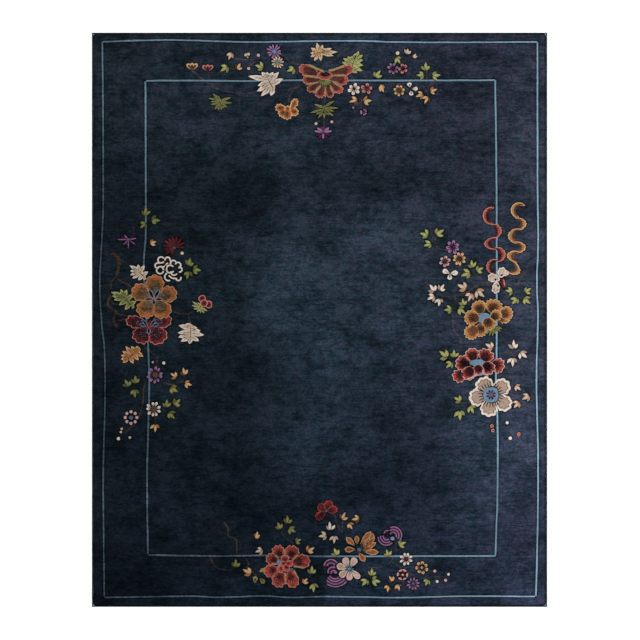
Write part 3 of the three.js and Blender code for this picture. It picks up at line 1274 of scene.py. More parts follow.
def rim_ring(inset):
    """Points round the body, in metres, as many for every inset from its edge."""
    wide, long = body_high.x - inset, body_high.y - inset
    radius = max(CORNER.radius - inset, CORNER.least * CORNER.radius)
    arcs = []
    for sign_x, sign_y, start in ((1, 1, 0), (-1, 1, 90), (-1, -1, 180), (1, -1, 270)):
        x, y = sign_x * (wide - radius), sign_y * (long - radius)
        angles = [start + 90 * i / CORNER.steps for i in range(CORNER.steps + 1)]
        arcs.append([beyond(x, y, angle, radius) for angle in angles])
    ring = []
    for i, corner in enumerate(arcs):
        a, b = corner[-1], arcs[(i + 1) % 4][0]
        side = body_high.y if i % 2 else body_high.x
        count = round(2 * side / EDGE_STEP)
        shares = [j / count for j in range(1, count)]
        ring += corner + [(a[0] + (b[0] - a[0]) * s, a[1] + (b[1] - a[1]) * s) for s in shares]
    return np.array(ring)


def knotted(shape, coarse):
    """A shape's outline with a point every step or so, each strayed a little, in cm."""
    step = (LINE_STEP if shape.yarn == "line" else KNOT_STEP) * coarse
    outline = shape.outline
    points = []
    for (ax, ay), (bx, by) in zip(outline, outline[1:] + outline[:1]):
        if points and math.dist(points[-1], (ax, ay)) < 0.6 * step:
            continue
        count = max(1, round(math.dist((ax, ay), (bx, by)) / step))
        for i in range(count):
            points.append((ax + (bx - ax) * i / count, ay + (by - ay) * i / count))
    strayed = []
    for x, y in points:
        stray = noise.noise_vector((x / 1.1, y / 1.1, 5.0))
        strayed.append((x + WANDER * stray.x, y + WANDER * stray.y))
    return strayed


def topmost(points, outlines):
    """For each point, the number of the last outline round it, or -1 on bare ground."""
    found = np.full(len(points), -1)
    for number, outline in enumerate(outlines):
        a = np.array(outline)
        low, high = a.min(0), a.max(0)
        near = np.flatnonzero(((points >= low) & (points <= high)).all(1))
        if not len(near):
            continue
        b = np.roll(a, -1, axis=0)
        x, y = points[near, 0, None], points[near, 1, None]
        side = (b[:, 0] - a[:, 0]) * (y - a[:, 1]) - (x - a[:, 0]) * (b[:, 1] - a[:, 1])
        rising = (a[:, 1] <= y) & (b[:, 1] > y) & (side > 0)
        falling = (a[:, 1] > y) & (b[:, 1] <= y) & (side < 0)
        turns = rising.sum(1) - falling.sum(1)
        found[near[turns != 0]] = number
    return found


def beside(shapes, outlines):
    """Points a groove's width outside the carved shapes, on bare ground, and loose ones."""
    tree = kdtree.KDTree(sum(len(outline) for outline in outlines))
    for i, point in enumerate(p for outline in outlines for p in outline):
        tree.insert((*point, 0), i)
    tree.balance()
    candidates = []
    for shape, outline in zip(shapes, outlines):
        if not shape.carved:
            continue
        a = np.array(outline)
        along = np.roll(a, -1, axis=0) - np.roll(a, 1, axis=0)
        area = (a[:, 0] * np.roll(a[:, 1], -1) - np.roll(a[:, 0], -1) * a[:, 1]).sum()
        out = np.stack([along[:, 1], -along[:, 0]], 1) * np.sign(area)
        out /= np.maximum(np.linalg.norm(out, axis=1), 1e-6)[:, None]
        candidates.append(a + GROOVE_WIDTH * out)
    candidates = np.concatenate(candidates)
    bare = candidates[topmost(candidates, outlines) < 0]
    kept = {}
    for x, y in bare:
        if tree.find((x, y, 0))[2] >= 0.8 * GROOVE_WIDTH:
            kept.setdefault((round(x / GROOVE_WIDTH), round(y / GROOVE_WIDTH)), (x, y))
    free = []
    wide, long = body_high.x / CM, body_high.y / CM
    columns, rows = round(wide / FREE_STEP), round(long / FREE_STEP)
    for i in range(-columns, columns + 1):
        for j in range(-rows, rows + 1):
            stray = noise.noise_vector((i * 0.7, j * 0.7, 9.0)) * 1.2
            x, y = i * FREE_STEP + stray.x, j * FREE_STEP + stray.y
            inside = abs(x) < wide - FREE_MARGIN and abs(y) < long - FREE_MARGIN
            if inside and tree.find((x, y, 0))[2] > FREE_FROM:
                free.append((x, y))
    return list(kept.values()) + free


def woven(ring, coarse=1.0, least=0.0, extra=True):
    """The drawing as triangles within a ring: points in metres, triangles, the shape on
    each triangle, where each ring point went, and which points are on a carved edge.
    Shapes smaller than least are left out, and so is every edge under a later shape."""
    shapes = [s for s in drawing if np.ptp(np.array(s.outline), axis=0).max() >= least]
    outlines = [knotted(shape, coarse) for shape in shapes]
    owners = np.repeat(np.arange(len(outlines)), [len(outline) for outline in outlines])
    places = np.concatenate([np.array(outline) for outline in outlines])
    hidden = topmost(places, outlines) > owners
    places = places.tolist()
    points = [Vector((x * CM, y * CM)) for x, y in places]
    edges = []
    start = 0
    for outline in outlines:
        count = len(outline)
        ends = [(start + i, start + (i + 1) % count) for i in range(count)]
        edges += [(a, b) for a, b in ends if not (hidden[a] and hidden[b])]
        start += count
    used = sorted({end for edge in edges for end in edge})
    number = {old: new for new, old in enumerate(used)}
    edges = [(number[a], number[b]) for a, b in edges]
    points = [points[i] for i in used]
    carved = [shapes[owners[i]].carved for i in used]
    ring_start = len(points)
    points += [Vector(p) for p in ring]
    edges += [(ring_start + i, ring_start + (i + 1) % len(ring)) for i in range(len(ring))]
    if extra:
        points += [Vector((x * CM, y * CM)) for x, y in beside(shapes, outlines)]
    flat, _, faces, sources, _, _ = geometry.delaunay_2d_cdt(points, edges, [], 0, 1e-5)
    flat = np.array(flat)
    triangles = np.array(faces)
    on_top = topmost(flat[triangles].mean(1) / CM, outlines)
    place = {source: i for i, group in enumerate(sources) for source in group}
    ring_places = np.array([place[ring_start + i] for i in range(len(ring))])
    edged = [any(s < ring_start and carved[s] for s in group) for group in sources]
    cut = np.array([not group or edge for group, edge in zip(sources, edged)])
    yarns = [shape.yarn for shape in shapes] + ["navy"]
    return SimpleNamespace(
        flat=flat, triangles=triangles, shapes=on_top, ring=ring_places, cut=cut, yarns=yarns
    )


TOP_INSET = 9 * MM
FOOT_INSET = 0.6 * MM
face = woven(rim_ring(TOP_INSET))
back = woven(rim_ring(FOOT_INSET), coarse=BACK_STEP / KNOT_STEP, least=LEAST_BACK, extra=False)
print("Face:", len(face.flat), "points,", len(face.triangles), "triangles")
print("Back:", len(back.flat), "points,", len(back.triangles), "triangles")

# %% [markdown]
# ## The ground's abrash and painted light
#
# Hand-dyed navy is never even. Each dye lot took a little differently, feet wore some
# places paler, and light falls differently on pile that leans. Dyers call it abrash. The
# broad patches are listed here, as a lightness for each corner of each triangle.
# The fine streaks come later, from the material.

# %% Broad patches of the ground
# Light is in doublings: 1 is twice as light, -1 half as light. Wide and tall are how far
# a patch reaches, in cm.
PATCHES = table("""
x y wide tall light
5 160 60 22 0.4
90 160 40 20 -0.25
55 5 14 16 0.35
5 130 14 20 -0.25
5 5 10 12 -0.25
-100 125 45 45 0.35
126 0 22 150 0.4
-105 60 55 45 -0.62
-50 76 20 20 -0.9
32 82 40 12 -0.8
-20 105 18 16 0.4
-18 20 22 38 0.8
32 56 26 22 0.6
30 10 40 35 0.3
5 -20 16 16 0.5
-50 -30 28 25 -0.7
-75 -75 50 40 -0.6
-42 -90 16 26 -0.5
-50 -126 60 35 -1.0
-10 -90 30 26 0.35
0 -118 35 18 -0.6
35 -96 40 16 -0.65
-115 -160 50 25 -1.4
55 -75 22 50 -0.35
105 -75 30 35 0.5
-125 -60 22 60 -0.7
-100 5 30 14 -0.6
90 110 30 35 -0.25
0 -160 40 14 -0.35
-124 32 10 14 0.4
-122 55 12 14 -0.3
-94 68 10 20 0.25
5 55 12 12 -0.3
-22 -130 12 14 0.35
98 -20 10 12 0.45
98 -70 14 14 0.3
80 -130 16 10 -0.3
96 -120 16 10 0.35
80 -156 16 10 -0.35
122 -156 12 12 0.35
122 105 12 16 0.35
30 158 14 12 0.3
-70 105 14 14 0.3
30 105 14 14 0.35
80 55 14 14 0.3
-20 5 12 12 0.3
55 5 12 12 0.25
-20 -55 14 22 0.25
-78 -120 22 22 0.3
30 -95 12 12 0.25
30 -130 12 14 0.35
55 -130 12 14 -0.4
122 -125 12 16 -0.4
-124 -125 12 35 -0.2
""")
# The same for the border lines alone.
LINE_PATCHES = table("""
x y wide tall light
-130 0 14 90 -0.7
-130 100 12 40 -0.5
-103 -60 12 40 -0.15
107 -100 12 40 -0.7
107 60 12 50 -0.2
0 144 60 8 -0.35
""")
# Painted light: the rug is lit more toward its right edge, so its colours grow lighter that way.
LIGHT_SLOPE = 0.55  # doublings of light from the middle to the right edge
# Painted shade: at the bottom, left of an old fold, the pile leans the other way and
# catches less light, so it is painted darker.
FOLD_SHADE = SimpleNamespace(x=3, reach=45, top=-132, depth=12, light=-0.75)


def patched(x, y, rows):
    """Doublings of light that a table of soft round patches gives at (x, y)."""
    light = np.zeros(np.shape(x))
    for patch in rows:
        away = ((x - patch.x) / patch.wide) ** 2 + ((y - patch.y) / patch.tall) ** 2
        light = light + patch.light * np.exp(-away)
    return light


def tone(flat):
    """Doublings of light at points in metres: abrash, and painted light and shade."""
    x, y = flat[:, 0] / CM, flat[:, 1] / CM
    light = LIGHT_SLOPE * x / 130 + patched(x, y, PATCHES)
    below = np.clip((FOLD_SHADE.top - y) / FOLD_SHADE.depth, 0, 1)
    left = (x < FOLD_SHADE.x) * np.exp(-(((x - FOLD_SHADE.x) / FOLD_SHADE.reach) ** 2))
    return light + FOLD_SHADE.light * below * left


# How far each kind of yarn follows the ground's tone, with its painted light and shade.
# The bright wools follow it less.
FOLLOWS = {"navy": 1.0, "line": 1.0, "twig": 0.6, "trunk": 0.3}
MOTIF_FOLLOWS = 0.28
# Painted shade in the carved grooves: the bare ground round a carved shape keeps this share of its
# light.
GROOVE_SHADE = 0.12
# How much redder and bluer the navy is to the right, to the top, and away from the
# middle to either side and to either end.
REDDER = (0.18, 0.10, 0.15, 0.07)
BLUER = (0.05, -0.07, 0.0, 0.10)


def colours(part):
    """Red, green, blue and alpha for each corner of each triangle."""
    base = np.array([YARNS[name] for name in part.yarns])[part.shapes]
    follows = np.array([FOLLOWS.get(name, MOTIF_FOLLOWS) for name in part.yarns])[part.shapes]
    lines = np.array([name == "line" for name in part.yarns])[part.shapes]
    own = patched(*(part.flat / CM).T, LINE_PATCHES)[part.triangles] * lines[:, None]
    light = 2 ** (follows[:, None] * tone(part.flat)[part.triangles] + own)
    ground = (part.shapes < 0)[:, None]
    # The ground in a carved groove is painted dark, as its shade.
    light = light * np.where(ground & part.cut[part.triangles], GROOVE_SHADE, 1)
    rgba = np.ones((*part.triangles.shape, 4))
    rgba[..., :3] = base[:, None, :] * light[..., None]
    x, y = (part.flat / np.array([body_high.x, body_high.y]))[part.triangles].transpose(2, 0, 1)
    for channel, shares in ((0, REDDER), (2, BLUER)):
        tint = 1 + sum(share * lean for share, lean in zip(shares, (x, y, x * x, y * y)))
        rgba[..., channel] *= np.where(ground, tint, 1)
    return rgba


print("Tone runs from", round(tone(face.flat).min(), 2), "to", round(tone(face.flat).max(), 2))

# %% [markdown]
# ## One closed body
#
# The face, the rounded rim and the back are joined into one closed mesh. The grooves are
# only cut where the topmost shape changes, so a petal that is hidden under another leaves
# no mark. The whole face also rises and falls by a fraction of a millimetre, as any
# clipped pile does.

# %% Build the pile
GROOVE_DEPTH = 1.2 * MM
SWELL = 0.35 * MM
# Inset and height in mm of the rim, from just off the floor to just under the face.
RIM_ROWS = [(0.0, 0.6), (0.0, 3.0), (0.5, 6.0), (1.4, 8.4), (3.0, 10.0), (5.4, 10.8)]
RIM_SHADE = 0.6  # the rim's share of the ground's light


def heights(part):
    """The height of each point of the face."""
    first = np.full(len(part.flat), len(part.yarns))
    last = np.full(len(part.flat), -2)
    for corner in part.triangles.T:
        np.minimum.at(first, corner, part.shapes)
        np.maximum.at(last, corner, part.shapes)
    groove = part.cut & (first != last)
    swell = np.array([noise.noise((x / 0.13, y / 0.09, 1.0)) for x, y in part.flat])
    level = PILE_TOP - SWELL + SWELL * swell - GROOVE_DEPTH * groove
    level[part.ring] = PILE_TOP
    return level


def body_mesh():
    """The face, six rings of rim and the back, as one mesh with a colour per corner."""
    blocks = [np.column_stack([face.flat, heights(face)])]
    blocks.append(np.column_stack([back.flat, np.zeros(len(back.flat))]))
    back_start = len(face.flat)
    start = back_start + len(back.flat)
    rows = [back.ring + back_start]
    for inset, height in RIM_ROWS:
        ring = rim_ring(inset * MM)
        rows.append(np.arange(len(ring)) + start)
        start += len(ring)
        blocks.append(np.column_stack([ring, np.full(len(ring), height * MM)]))
    rows.append(face.ring)
    points = np.concatenate(blocks)
    walls = []
    for low, high in zip(rows, rows[1:]):
        a, b = low, np.roll(low, -1)
        c, d = high, np.roll(high, -1)
        walls += [np.column_stack([a, b, d]), np.column_stack([a, d, c])]
    walls = np.concatenate(walls)
    triangles = np.concatenate([face.triangles, walls, back.triangles[:, ::-1] + back_start])
    wall_colours = np.ones((*walls.shape, 4))
    wall_light = 2 ** tone(points[:, :2])[walls]
    wall_colours[..., :3] = np.array(YARNS["navy"]) * RIM_SHADE * wall_light[..., None]
    corners = np.concatenate([colours(face), wall_colours, colours(back)[:, ::-1]])
    mesh = bpy.data.meshes.new("pile")
    mesh.from_pydata(points.tolist(), [], triangles.tolist())
    wool = mesh.color_attributes.new("yarn", "FLOAT_COLOR", "CORNER")
    wool.data.foreach_set("color", corners.ravel())
    sides = np.zeros(len(triangles), np.int32)
    sides[-len(back.triangles):] = 1
    mesh.polygons.foreach_set("material_index", sides)
    mesh.polygons.foreach_set("use_smooth", np.ones(len(triangles), bool))
    mesh.update()
    return mesh


pile = bpy.data.objects.new("pile", body_mesh())
scene.collection.objects.link(pile)
print("Pile:", len(pile.data.polygons), "triangles")

# %% [markdown]
# ## Wool
#
# The material takes the yarn's colour from the mesh and then disturbs it, as real wool
# does: long streaks along the wefts where one dye lot ends, clouds of a slightly other
# hue, and a grain of single knots. The streaks are a node group, because the cords and
# the woven ends use them too. The light is soft and wool is matt, so there is almost no
# shine.

# %% Wool materials


def add(tree, kind, inputs=(), **settings):
    """A node with its settings, and with each named input set or linked."""
    node = tree.nodes.new(kind)
    for name, value in settings.items():
        setattr(node, name, value)
    for name, value in dict(inputs).items():
        if isinstance(value, bpy.types.NodeSocket):
            tree.links.new(value, node.inputs[name])
        else:
            node.inputs[name].default_value = value
    return node


def maths(tree, operation, *values, **settings):
    """The result of one step of arithmetic."""
    inputs = dict(enumerate(values))
    return add(tree, "ShaderNodeMath", inputs, operation=operation, **settings).outputs[0]


def product(tree, *values):
    """The product of several values."""
    total = values[0]
    for value in values[1:]:
        total = maths(tree, "MULTIPLY", total, value)
    return total


def mapped(tree, value, low, high, new_low=0.0, new_high=1.0):
    """A value brought from one range into another."""
    inputs = dict(enumerate((value, low, high, new_low, new_high)))
    return add(tree, "ShaderNodeMapRange", inputs).outputs[0]


def cloud(tree, place, scale, detail, rough, shift=0.0):
    """Noise from 0 to 1 with its own scale on each axis, in waves per metre."""
    mapping = add(tree, "ShaderNodeMapping", {0: place, 1: (shift, shift, 0), 3: scale})
    inputs = {"Vector": mapping.outputs[0], "Scale": 1.0, "Detail": detail, "Roughness": rough}
    return add(tree, "ShaderNodeTexNoise", inputs).outputs["Fac"]


# Each layer of unevenness has a noise with its scales and its own shift, so that no two
# are alike, and a strength in doublings of light. The last one is the single knots.
LAYERS = table("""
name across along up detail rough shift doublings
streaks 2.5 95 1 2 0.6 0 1.1
bands 0.6 14 1 2 0.6 7 0.6
dashes 14 70 1 2 0.7 5 1.2
scuffs 20 24 1 3 0.7 9 3.5
mottle 4.5 5.5 1 3 0.6 3 4.3
knots 80 110 60 3 0.8 1 4.5
""")
# Painted shade in thin creases of the pile.
CREASE_SHADE = 0.55  # the share of its light that a crease keeps
CREASE_WIDTH = 0.03
PALEST = 1.4
PALE_HUE = 0.38
abrash = bpy.data.node_groups.new("Abrash and crease shade", "ShaderNodeTree")
for name in ("Ground", "Knots", "Hue", "Fibres"):
    abrash.interface.new_socket(name, in_out="OUTPUT", socket_type="NodeSocketFloat")
place = add(abrash, "ShaderNodeTexCoord").outputs["Object"]
lights = []
for layer in LAYERS:
    scale = (layer.across, layer.along, layer.up)
    noise_value = cloud(abrash, place, scale, layer.detail, layer.rough, layer.shift)
    strength = product(abrash, maths(abrash, "ADD", noise_value, -0.5), layer.doublings)
    lights.append(maths(abrash, "POWER", 2.0, strength))
*broad, knots = lights
# Creases are thin lines of painted shade, where a noise passes through its middle.
crease_shade = cloud(abrash, place, (4, 17, 1), 3.0, 0.6, 13.0)
crease_shade = maths(abrash, "ABSOLUTE", maths(abrash, "SUBTRACT", crease_shade, 0.5))
crease_shade = mapped(abrash, crease_shade, 0.0, CREASE_WIDTH, CREASE_SHADE, 1.0)
# Pile wears paler only up to a point.
ground = maths(abrash, "SMOOTH_MIN", product(abrash, *broad), PALEST, 0.8)
ground = product(abrash, ground, crease_shade)
# Worn, paler pile is also a little redder.
hue = mapped(abrash, cloud(abrash, place, (18, 24, 1), 3.0, 0.8, 11.0), 0.27, 0.73)
redder = product(abrash, maths(abrash, "SUBTRACT", ground, 0.9), PALE_HUE)
hue = maths(abrash, "ADD", hue, redder, use_clamp=True)
fibres = cloud(abrash, place, (700, 700, 500), 2.0, 0.6)
sink = abrash.nodes.new("NodeGroupOutput")
for name, value in (("Ground", ground), ("Knots", knots), ("Hue", hue), ("Fibres", fibres)):
    abrash.links.new(value, sink.inputs[name])

COOL = (0.58, 1.0, 0.9, 1)
WARM = (1.44, 0.98, 1.06, 1)
GREYS = (0.03, 0.14)  # from the dark ground to the bright wools
BRIGHT_STREAKS = 0.12  # how far the bright wools follow the streaks
BRIGHT_GRAIN = 0.5


def ridged(tree, size):
    """A height that rises over each knot of this size, in metres, from 0 to 1."""
    spots = add(tree, "ShaderNodeTexCoord").outputs["Object"]
    across, along, _ = add(tree, "ShaderNodeSeparateXYZ", {0: spots}).outputs
    waves = []
    for part in (across, along):
        wave = maths(tree, "SINE", product(tree, part, 2 * math.pi / size))
        waves.append(maths(tree, "ABSOLUTE", wave))
    return product(tree, *waves)


def wool(name, yarn=None, streaked=1.0, bump=0.5, ridges=None):
    """Matt wool. Without a yarn it takes its colour from the mesh. Streaked is how far it
    follows the abrash, and ridges the size in metres of the knots seen from behind."""
    material = bpy.data.materials.new(name)
    material.use_nodes = True
    tree = material.node_tree
    tree.nodes.clear()
    effects = add(tree, "ShaderNodeGroup", node_tree=abrash).outputs
    if yarn:
        colour = add(tree, "ShaderNodeRGB")
        colour.outputs[0].default_value = (*YARNS[yarn], 1)
    else:
        colour = add(tree, "ShaderNodeVertexColor", layer_name="yarn")
    colour = colour.outputs[0]
    # Bright wool is streaked less than the dark ground.
    grey = add(tree, "ShaderNodeRGBToBW", {0: colour}).outputs[0]
    dark = mapped(tree, grey, *GREYS, streaked, BRIGHT_STREAKS)
    even = mapped(tree, grey, *GREYS, 1.0, BRIGHT_GRAIN)
    ground = maths(tree, "POWER", effects["Ground"], dark)
    light = product(tree, ground, maths(tree, "POWER", effects["Knots"], even))
    mix = {0: effects["Hue"], 6: COOL, 7: WARM}
    tint = add(tree, "ShaderNodeMix", mix, data_type="RGBA").outputs[2]
    mix = {0: dark, 6: colour, 7: tint}
    tinted = add(tree, "ShaderNodeMix", mix, data_type="RGBA", blend_type="MULTIPLY").outputs[2]
    lit = add(tree, "ShaderNodeVectorMath", {0: tinted, 3: light}, operation="SCALE").outputs[0]
    height = effects["Fibres"]
    if ridges:
        height = maths(tree, "ADD", ridged(tree, ridges), height)
    relief = {"Strength": bump, "Distance": 1.2 * MM, "Height": height}
    normal = add(tree, "ShaderNodeBump", relief).outputs[0]
    surface = add(
        tree, "ShaderNodeBsdfPrincipled",
        {"Base Color": lit, "Normal": normal, "Roughness": 0.95, "Specular IOR Level": 0.01,
         "Sheen Weight": 0.01, "Sheen Roughness": 0.6},
    )
    add(tree, "ShaderNodeOutputMaterial", {0: surface.outputs[0]})
    return material


YARNS["overcast"] = linear(24, 30, 38)
YARNS["web"] = linear(26, 32, 40)
pile.data.materials.append(wool("clipped wool pile"))
pile.data.materials.append(wool("back of the knots", bump=0.8, ridges=6.8 * MM))
overcast = wool("overcast wool", "overcast", 0.6, 0.4)
web = wool("woven web", "web", 0.6, 0.4)
print("Materials:", [material.name for material in bpy.data.materials])

# %% [markdown]
# ## Overcast side cords
#
# Along each side, wool yarn is wrapped round and round a cord of warps to keep the edge
# from wearing. That is nine hundred turns of the same loop, so it is a job for Geometry
# Nodes: a line of points, a loop on each, and a little chance in how each loop leans.

# %% Wrap the side cords
CORD = SimpleNamespace(width=8 * MM, height=7.4 * MM, yarn=3.9 * MM, pitch=3.6 * MM)


def geometry_tree(name, inputs):
    """A Geometry Nodes tree with named inputs, and its first and last node."""
    tree = bpy.data.node_groups.new(name, "GeometryNodeTree")
    for label, kind in inputs.items():
        tree.interface.new_socket(label, in_out="INPUT", socket_type=f"NodeSocket{kind}")
    tree.interface.new_socket("Geometry", in_out="OUTPUT", socket_type="NodeSocketGeometry")
    return tree, tree.nodes.new("NodeGroupInput"), tree.nodes.new("NodeGroupOutput")


def grown(name, tree, **values):
    """What a Geometry Nodes tree makes with these values, as a plain mesh object."""
    piece = bpy.data.objects.new(name, bpy.data.meshes.new(name))
    scene.collection.objects.link(piece)
    modifier = piece.modifiers.new("grown", "NODES")
    modifier.node_group = tree
    for item in tree.interface.items_tree:
        if item.in_out == "INPUT":
            modifier[item.identifier] = values[item.name.lower()]
    bpy.context.view_layer.update()
    graph = bpy.context.evaluated_depsgraph_get()
    mesh = bpy.data.meshes.new_from_object(piece.evaluated_get(graph))
    piece.modifiers.clear()
    piece.data = mesh
    mesh.name = name
    mesh.calc_loop_triangles()
    print(name, "has", len(mesh.loop_triangles), "triangles")
    return piece


def dressed(tree, pieces, material, sink):
    """The pieces as a smooth mesh of one material, handed to the tree's last node."""
    solid = add(tree, "GeometryNodeRealizeInstances", {0: pieces.outputs[0]})
    smoothed = add(tree, "GeometryNodeSetShadeSmooth", {0: solid.outputs[0]})
    dyed = add(tree, "GeometryNodeSetMaterial", {0: smoothed.outputs[0], "Material": material})
    tree.links.new(dyed.outputs[0], sink.inputs[0])


wraps, source, sink = geometry_tree(
    "Wrapped cord",
    {"Turns": "Int", "Pitch": "Float", "Yarn": "Float", "Place": "Vector", "Reach": "Vector",
     "Seed": "Int"},
)
given = source.outputs
loop = add(wraps, "GeometryNodeCurvePrimitiveCircle", {"Resolution": 12, "Radius": 1.0})
section = add(wraps, "GeometryNodeTransform", {0: loop.outputs[0], "Scale": given["Reach"]})
half = maths(wraps, "MULTIPLY", given["Yarn"], 0.5)
strand = add(wraps, "GeometryNodeCurvePrimitiveCircle", {"Resolution": 6, "Radius": half})
parts = {"Curve": section.outputs[0], "Profile Curve": strand.outputs[0]}
flat_turn = add(wraps, "GeometryNodeCurveToMesh", parts).outputs[0]
upright = add(wraps, "GeometryNodeTransform", {0: flat_turn, "Rotation": (math.pi / 2, 0, 0)})
step = add(wraps, "ShaderNodeCombineXYZ", {1: given["Pitch"]}).outputs[0]
parts = {"Count": given["Turns"], "Start Location": given["Place"], "Offset": step}
line = add(wraps, "GeometryNodeMeshLine", parts)
LEAN = math.radians(5)
lean = add(
    wraps, "FunctionNodeRandomValue",
    {0: (-0.5 * LEAN, -LEAN, -LEAN), 1: (0.5 * LEAN, LEAN, LEAN), "Seed": given["Seed"]},
    data_type="FLOAT_VECTOR",
)
placed = add(
    wraps, "GeometryNodeInstanceOnPoints",
    {"Points": line.outputs[0], "Instance": upright.outputs[0], "Rotation": lean.outputs[0]},
)
dressed(wraps, placed, overcast, sink)

cords = []
for side, seed in (("left", 3), ("right", 8)):
    low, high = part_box(f"side_cord_{side}")
    turns = int((high.y - low.y) / CORD.pitch)
    pitch = (high.y - low.y - CORD.yarn) / (turns - 1)
    cords.append(
        grown(
            f"side_cord_{side}_wraps", wraps, turns=turns, pitch=pitch, yarn=CORD.yarn, seed=seed,
            place=((low.x + high.x) / 2, low.y + CORD.yarn / 2, CORD.height / 2),
            reach=((CORD.width - CORD.yarn) / 2, (CORD.height - CORD.yarn) / 2, 1),
        )
    )

# %% [markdown]
# ## Woven ends
#
# After the last row of knots the weaver adds a few plain wefts and turns them under. What
# shows is a low strip of four wefts, each going over one warp and under the next. Each
# weft is a wave, and every second one starts half a wave later.

# %% Weave the end bands
WEFT = SimpleNamespace(rows=4, thick=2.7 * MM, swing=0.7 * MM, wave=6.8 * MM)
weave, source, sink = geometry_tree(
    "Woven band",
    {"Width": "Float", "Steps": "Int", "Wave": "Float", "Swing": "Float", "Thick": "Float",
     "Rows": "Int", "Pitch": "Float", "Place": "Vector"},
)
given = source.outputs
half_width = maths(weave, "MULTIPLY", given["Width"], 0.5)
ends = {"Start": maths(weave, "MULTIPLY", half_width, -1.0), "End": half_width}
ends = {name: add(weave, "ShaderNodeCombineXYZ", {0: x}).outputs[0] for name, x in ends.items()}
strand = add(weave, "GeometryNodeCurvePrimitiveLine", ends).outputs[0]
points = add(weave, "GeometryNodeResampleCurve", {"Curve": strand, "Count": given["Steps"]})
spot = add(weave, "GeometryNodeInputPosition").outputs[0]
along = add(weave, "ShaderNodeSeparateXYZ", {0: spot}).outputs[0]
angle = maths(weave, "MULTIPLY", maths(weave, "DIVIDE", along, given["Wave"]), 2 * math.pi)
swing = maths(weave, "MULTIPLY", maths(weave, "SINE", angle), given["Swing"])
half = maths(weave, "MULTIPLY", given["Thick"], 0.5)
profile = add(weave, "GeometryNodeCurvePrimitiveCircle", {"Resolution": 5, "Radius": half})
pairs = maths(weave, "MULTIPLY", given["Rows"], 0.5)
double = maths(weave, "MULTIPLY", given["Pitch"], 2.0)
stride = add(weave, "ShaderNodeCombineXYZ", {1: double}).outputs[0]
joined = weave.nodes.new("GeometryNodeJoinGeometry")
for sign, offset in ((1.0, 0.0), (-1.0, 1.0)):
    height = maths(weave, "MULTIPLY", swing, sign)
    rise = add(weave, "ShaderNodeCombineXYZ", {2: height}).outputs[0]
    waved = add(weave, "GeometryNodeSetPosition", {0: points.outputs[0], "Offset": rise})
    parts = {"Curve": waved.outputs[0], "Profile Curve": profile.outputs[0], "Fill Caps": True}
    weft = add(weave, "GeometryNodeCurveToMesh", parts).outputs[0]
    shift = maths(weave, "MULTIPLY", given["Pitch"], offset)
    start = add(weave, "ShaderNodeCombineXYZ", {1: shift}).outputs[0]
    parts = {0: start, 1: given["Place"]}
    base = add(weave, "ShaderNodeVectorMath", parts, operation="ADD").outputs[0]
    parts = {"Count": pairs, "Start Location": base, "Offset": stride}
    line = add(weave, "GeometryNodeMeshLine", parts).outputs[0]
    laid = add(weave, "GeometryNodeInstanceOnPoints", {"Points": line, "Instance": weft})
    weave.links.new(laid.outputs[0], joined.inputs[0])
dressed(weave, joined, web, sink)

bands = []
for end in ("top", "bottom"):
    low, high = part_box(f"end_band_{end}")
    pitch = (high.y - low.y - WEFT.thick) / (WEFT.rows - 1)
    steps = 4 * round((high.x - low.x) / WEFT.wave) + 1
    bands.append(
        grown(
            f"end_band_{end}_wefts", weave, width=high.x - low.x, steps=steps, wave=WEFT.wave,
            swing=WEFT.swing, thick=WEFT.thick, rows=WEFT.rows, pitch=pitch,
            place=(0, low.y + WEFT.thick / 2, WEFT.thick / 2 + WEFT.swing),
        )
    )

# %% [markdown]
# ## Floor, light and camera
#
# The photo was taken from straight above, on white, with even light and hardly a shadow.
# So the floor is very large and white, the sky gives most of the light, and one soft sun
# adds a little shape from the upper left. The lens is long, so the rug's sides stay
# parallel.

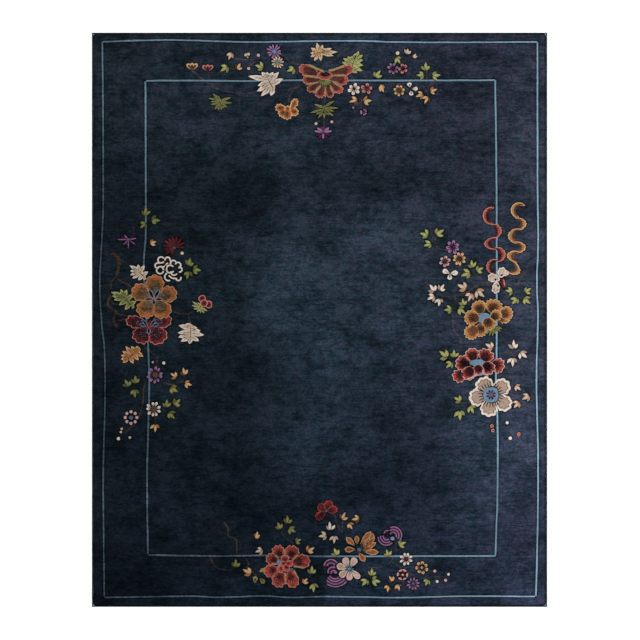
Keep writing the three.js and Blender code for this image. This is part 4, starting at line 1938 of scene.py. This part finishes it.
# %% Set the stage
FLOOR_SIDE = 80.0
FLOOR_WHITE = 0.9
SKY = 1.15
SUN = 1.1
half = FLOOR_SIDE / 2
corners = [(-half, -half, 0), (half, -half, 0), (half, half, 0), (-half, half, 0)]
floor_mesh = bpy.data.meshes.new("floor")
floor_mesh.from_pydata(corners, [], [(0, 1, 2, 3)])
floor = bpy.data.objects.new("floor", floor_mesh)
scene.collection.objects.link(floor)
white = bpy.data.materials.new("white floor")
white.use_nodes = True
paint = white.node_tree.nodes["Principled BSDF"]
paint.inputs["Base Color"].default_value = (FLOOR_WHITE, FLOOR_WHITE, FLOOR_WHITE, 1)
paint.inputs["Roughness"].default_value = 1.0
paint.inputs["Specular IOR Level"].default_value = 0.0
floor_mesh.materials.append(white)

world = bpy.data.worlds.new("studio")
world.use_nodes = True
world.node_tree.nodes["Background"].inputs["Color"].default_value = (1, 1, 1, 1)
world.node_tree.nodes["Background"].inputs["Strength"].default_value = SKY
scene.world = world
sun = bpy.data.objects.new("sun", bpy.data.lights.new("sun", "SUN"))
sun.data.energy = SUN
sun.data.angle = math.radians(25)
sun.rotation_euler = (math.radians(-32), math.radians(-28), 0)
scene.collection.objects.link(sun)
scene.view_settings.view_transform = "Standard"

SHOT = SimpleNamespace(across=3.849, above=9.0, x=0.0031, y=-0.0014, sensor=36.0)
lens = SHOT.sensor * SHOT.above / SHOT.across
camera = bpy.data.objects.new("camera", bpy.data.cameras.new("camera"))
camera.data.sensor_width = SHOT.sensor
camera.data.lens = lens
camera.location = (SHOT.x, SHOT.y, SHOT.above + PILE_TOP)
scene.collection.objects.link(camera)
scene.camera = camera
print("Lens", round(lens, 1), "mm")

# %% [markdown]
# ## Put each piece under one body
#
# Each object is put under one body, and the CAD solid that it stands for is hidden.
# The rug is one sheet of cloth that lies on the floor, with its cords and bands on it.

# %% Hand over
roles = [
    (pile, "knotted_body", "navy_wool_pile"),
    (cords[0], "side_cord_left", "navy_wool_overcast"),
    (cords[1], "side_cord_right", "navy_wool_overcast"),
    (bands[0], "end_band_top", "navy_woven_web"),
    (bands[1], "end_band_bottom", "navy_woven_web"),
]
for piece, node, finish in roles:
    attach(piece, "root")
    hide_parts(node)
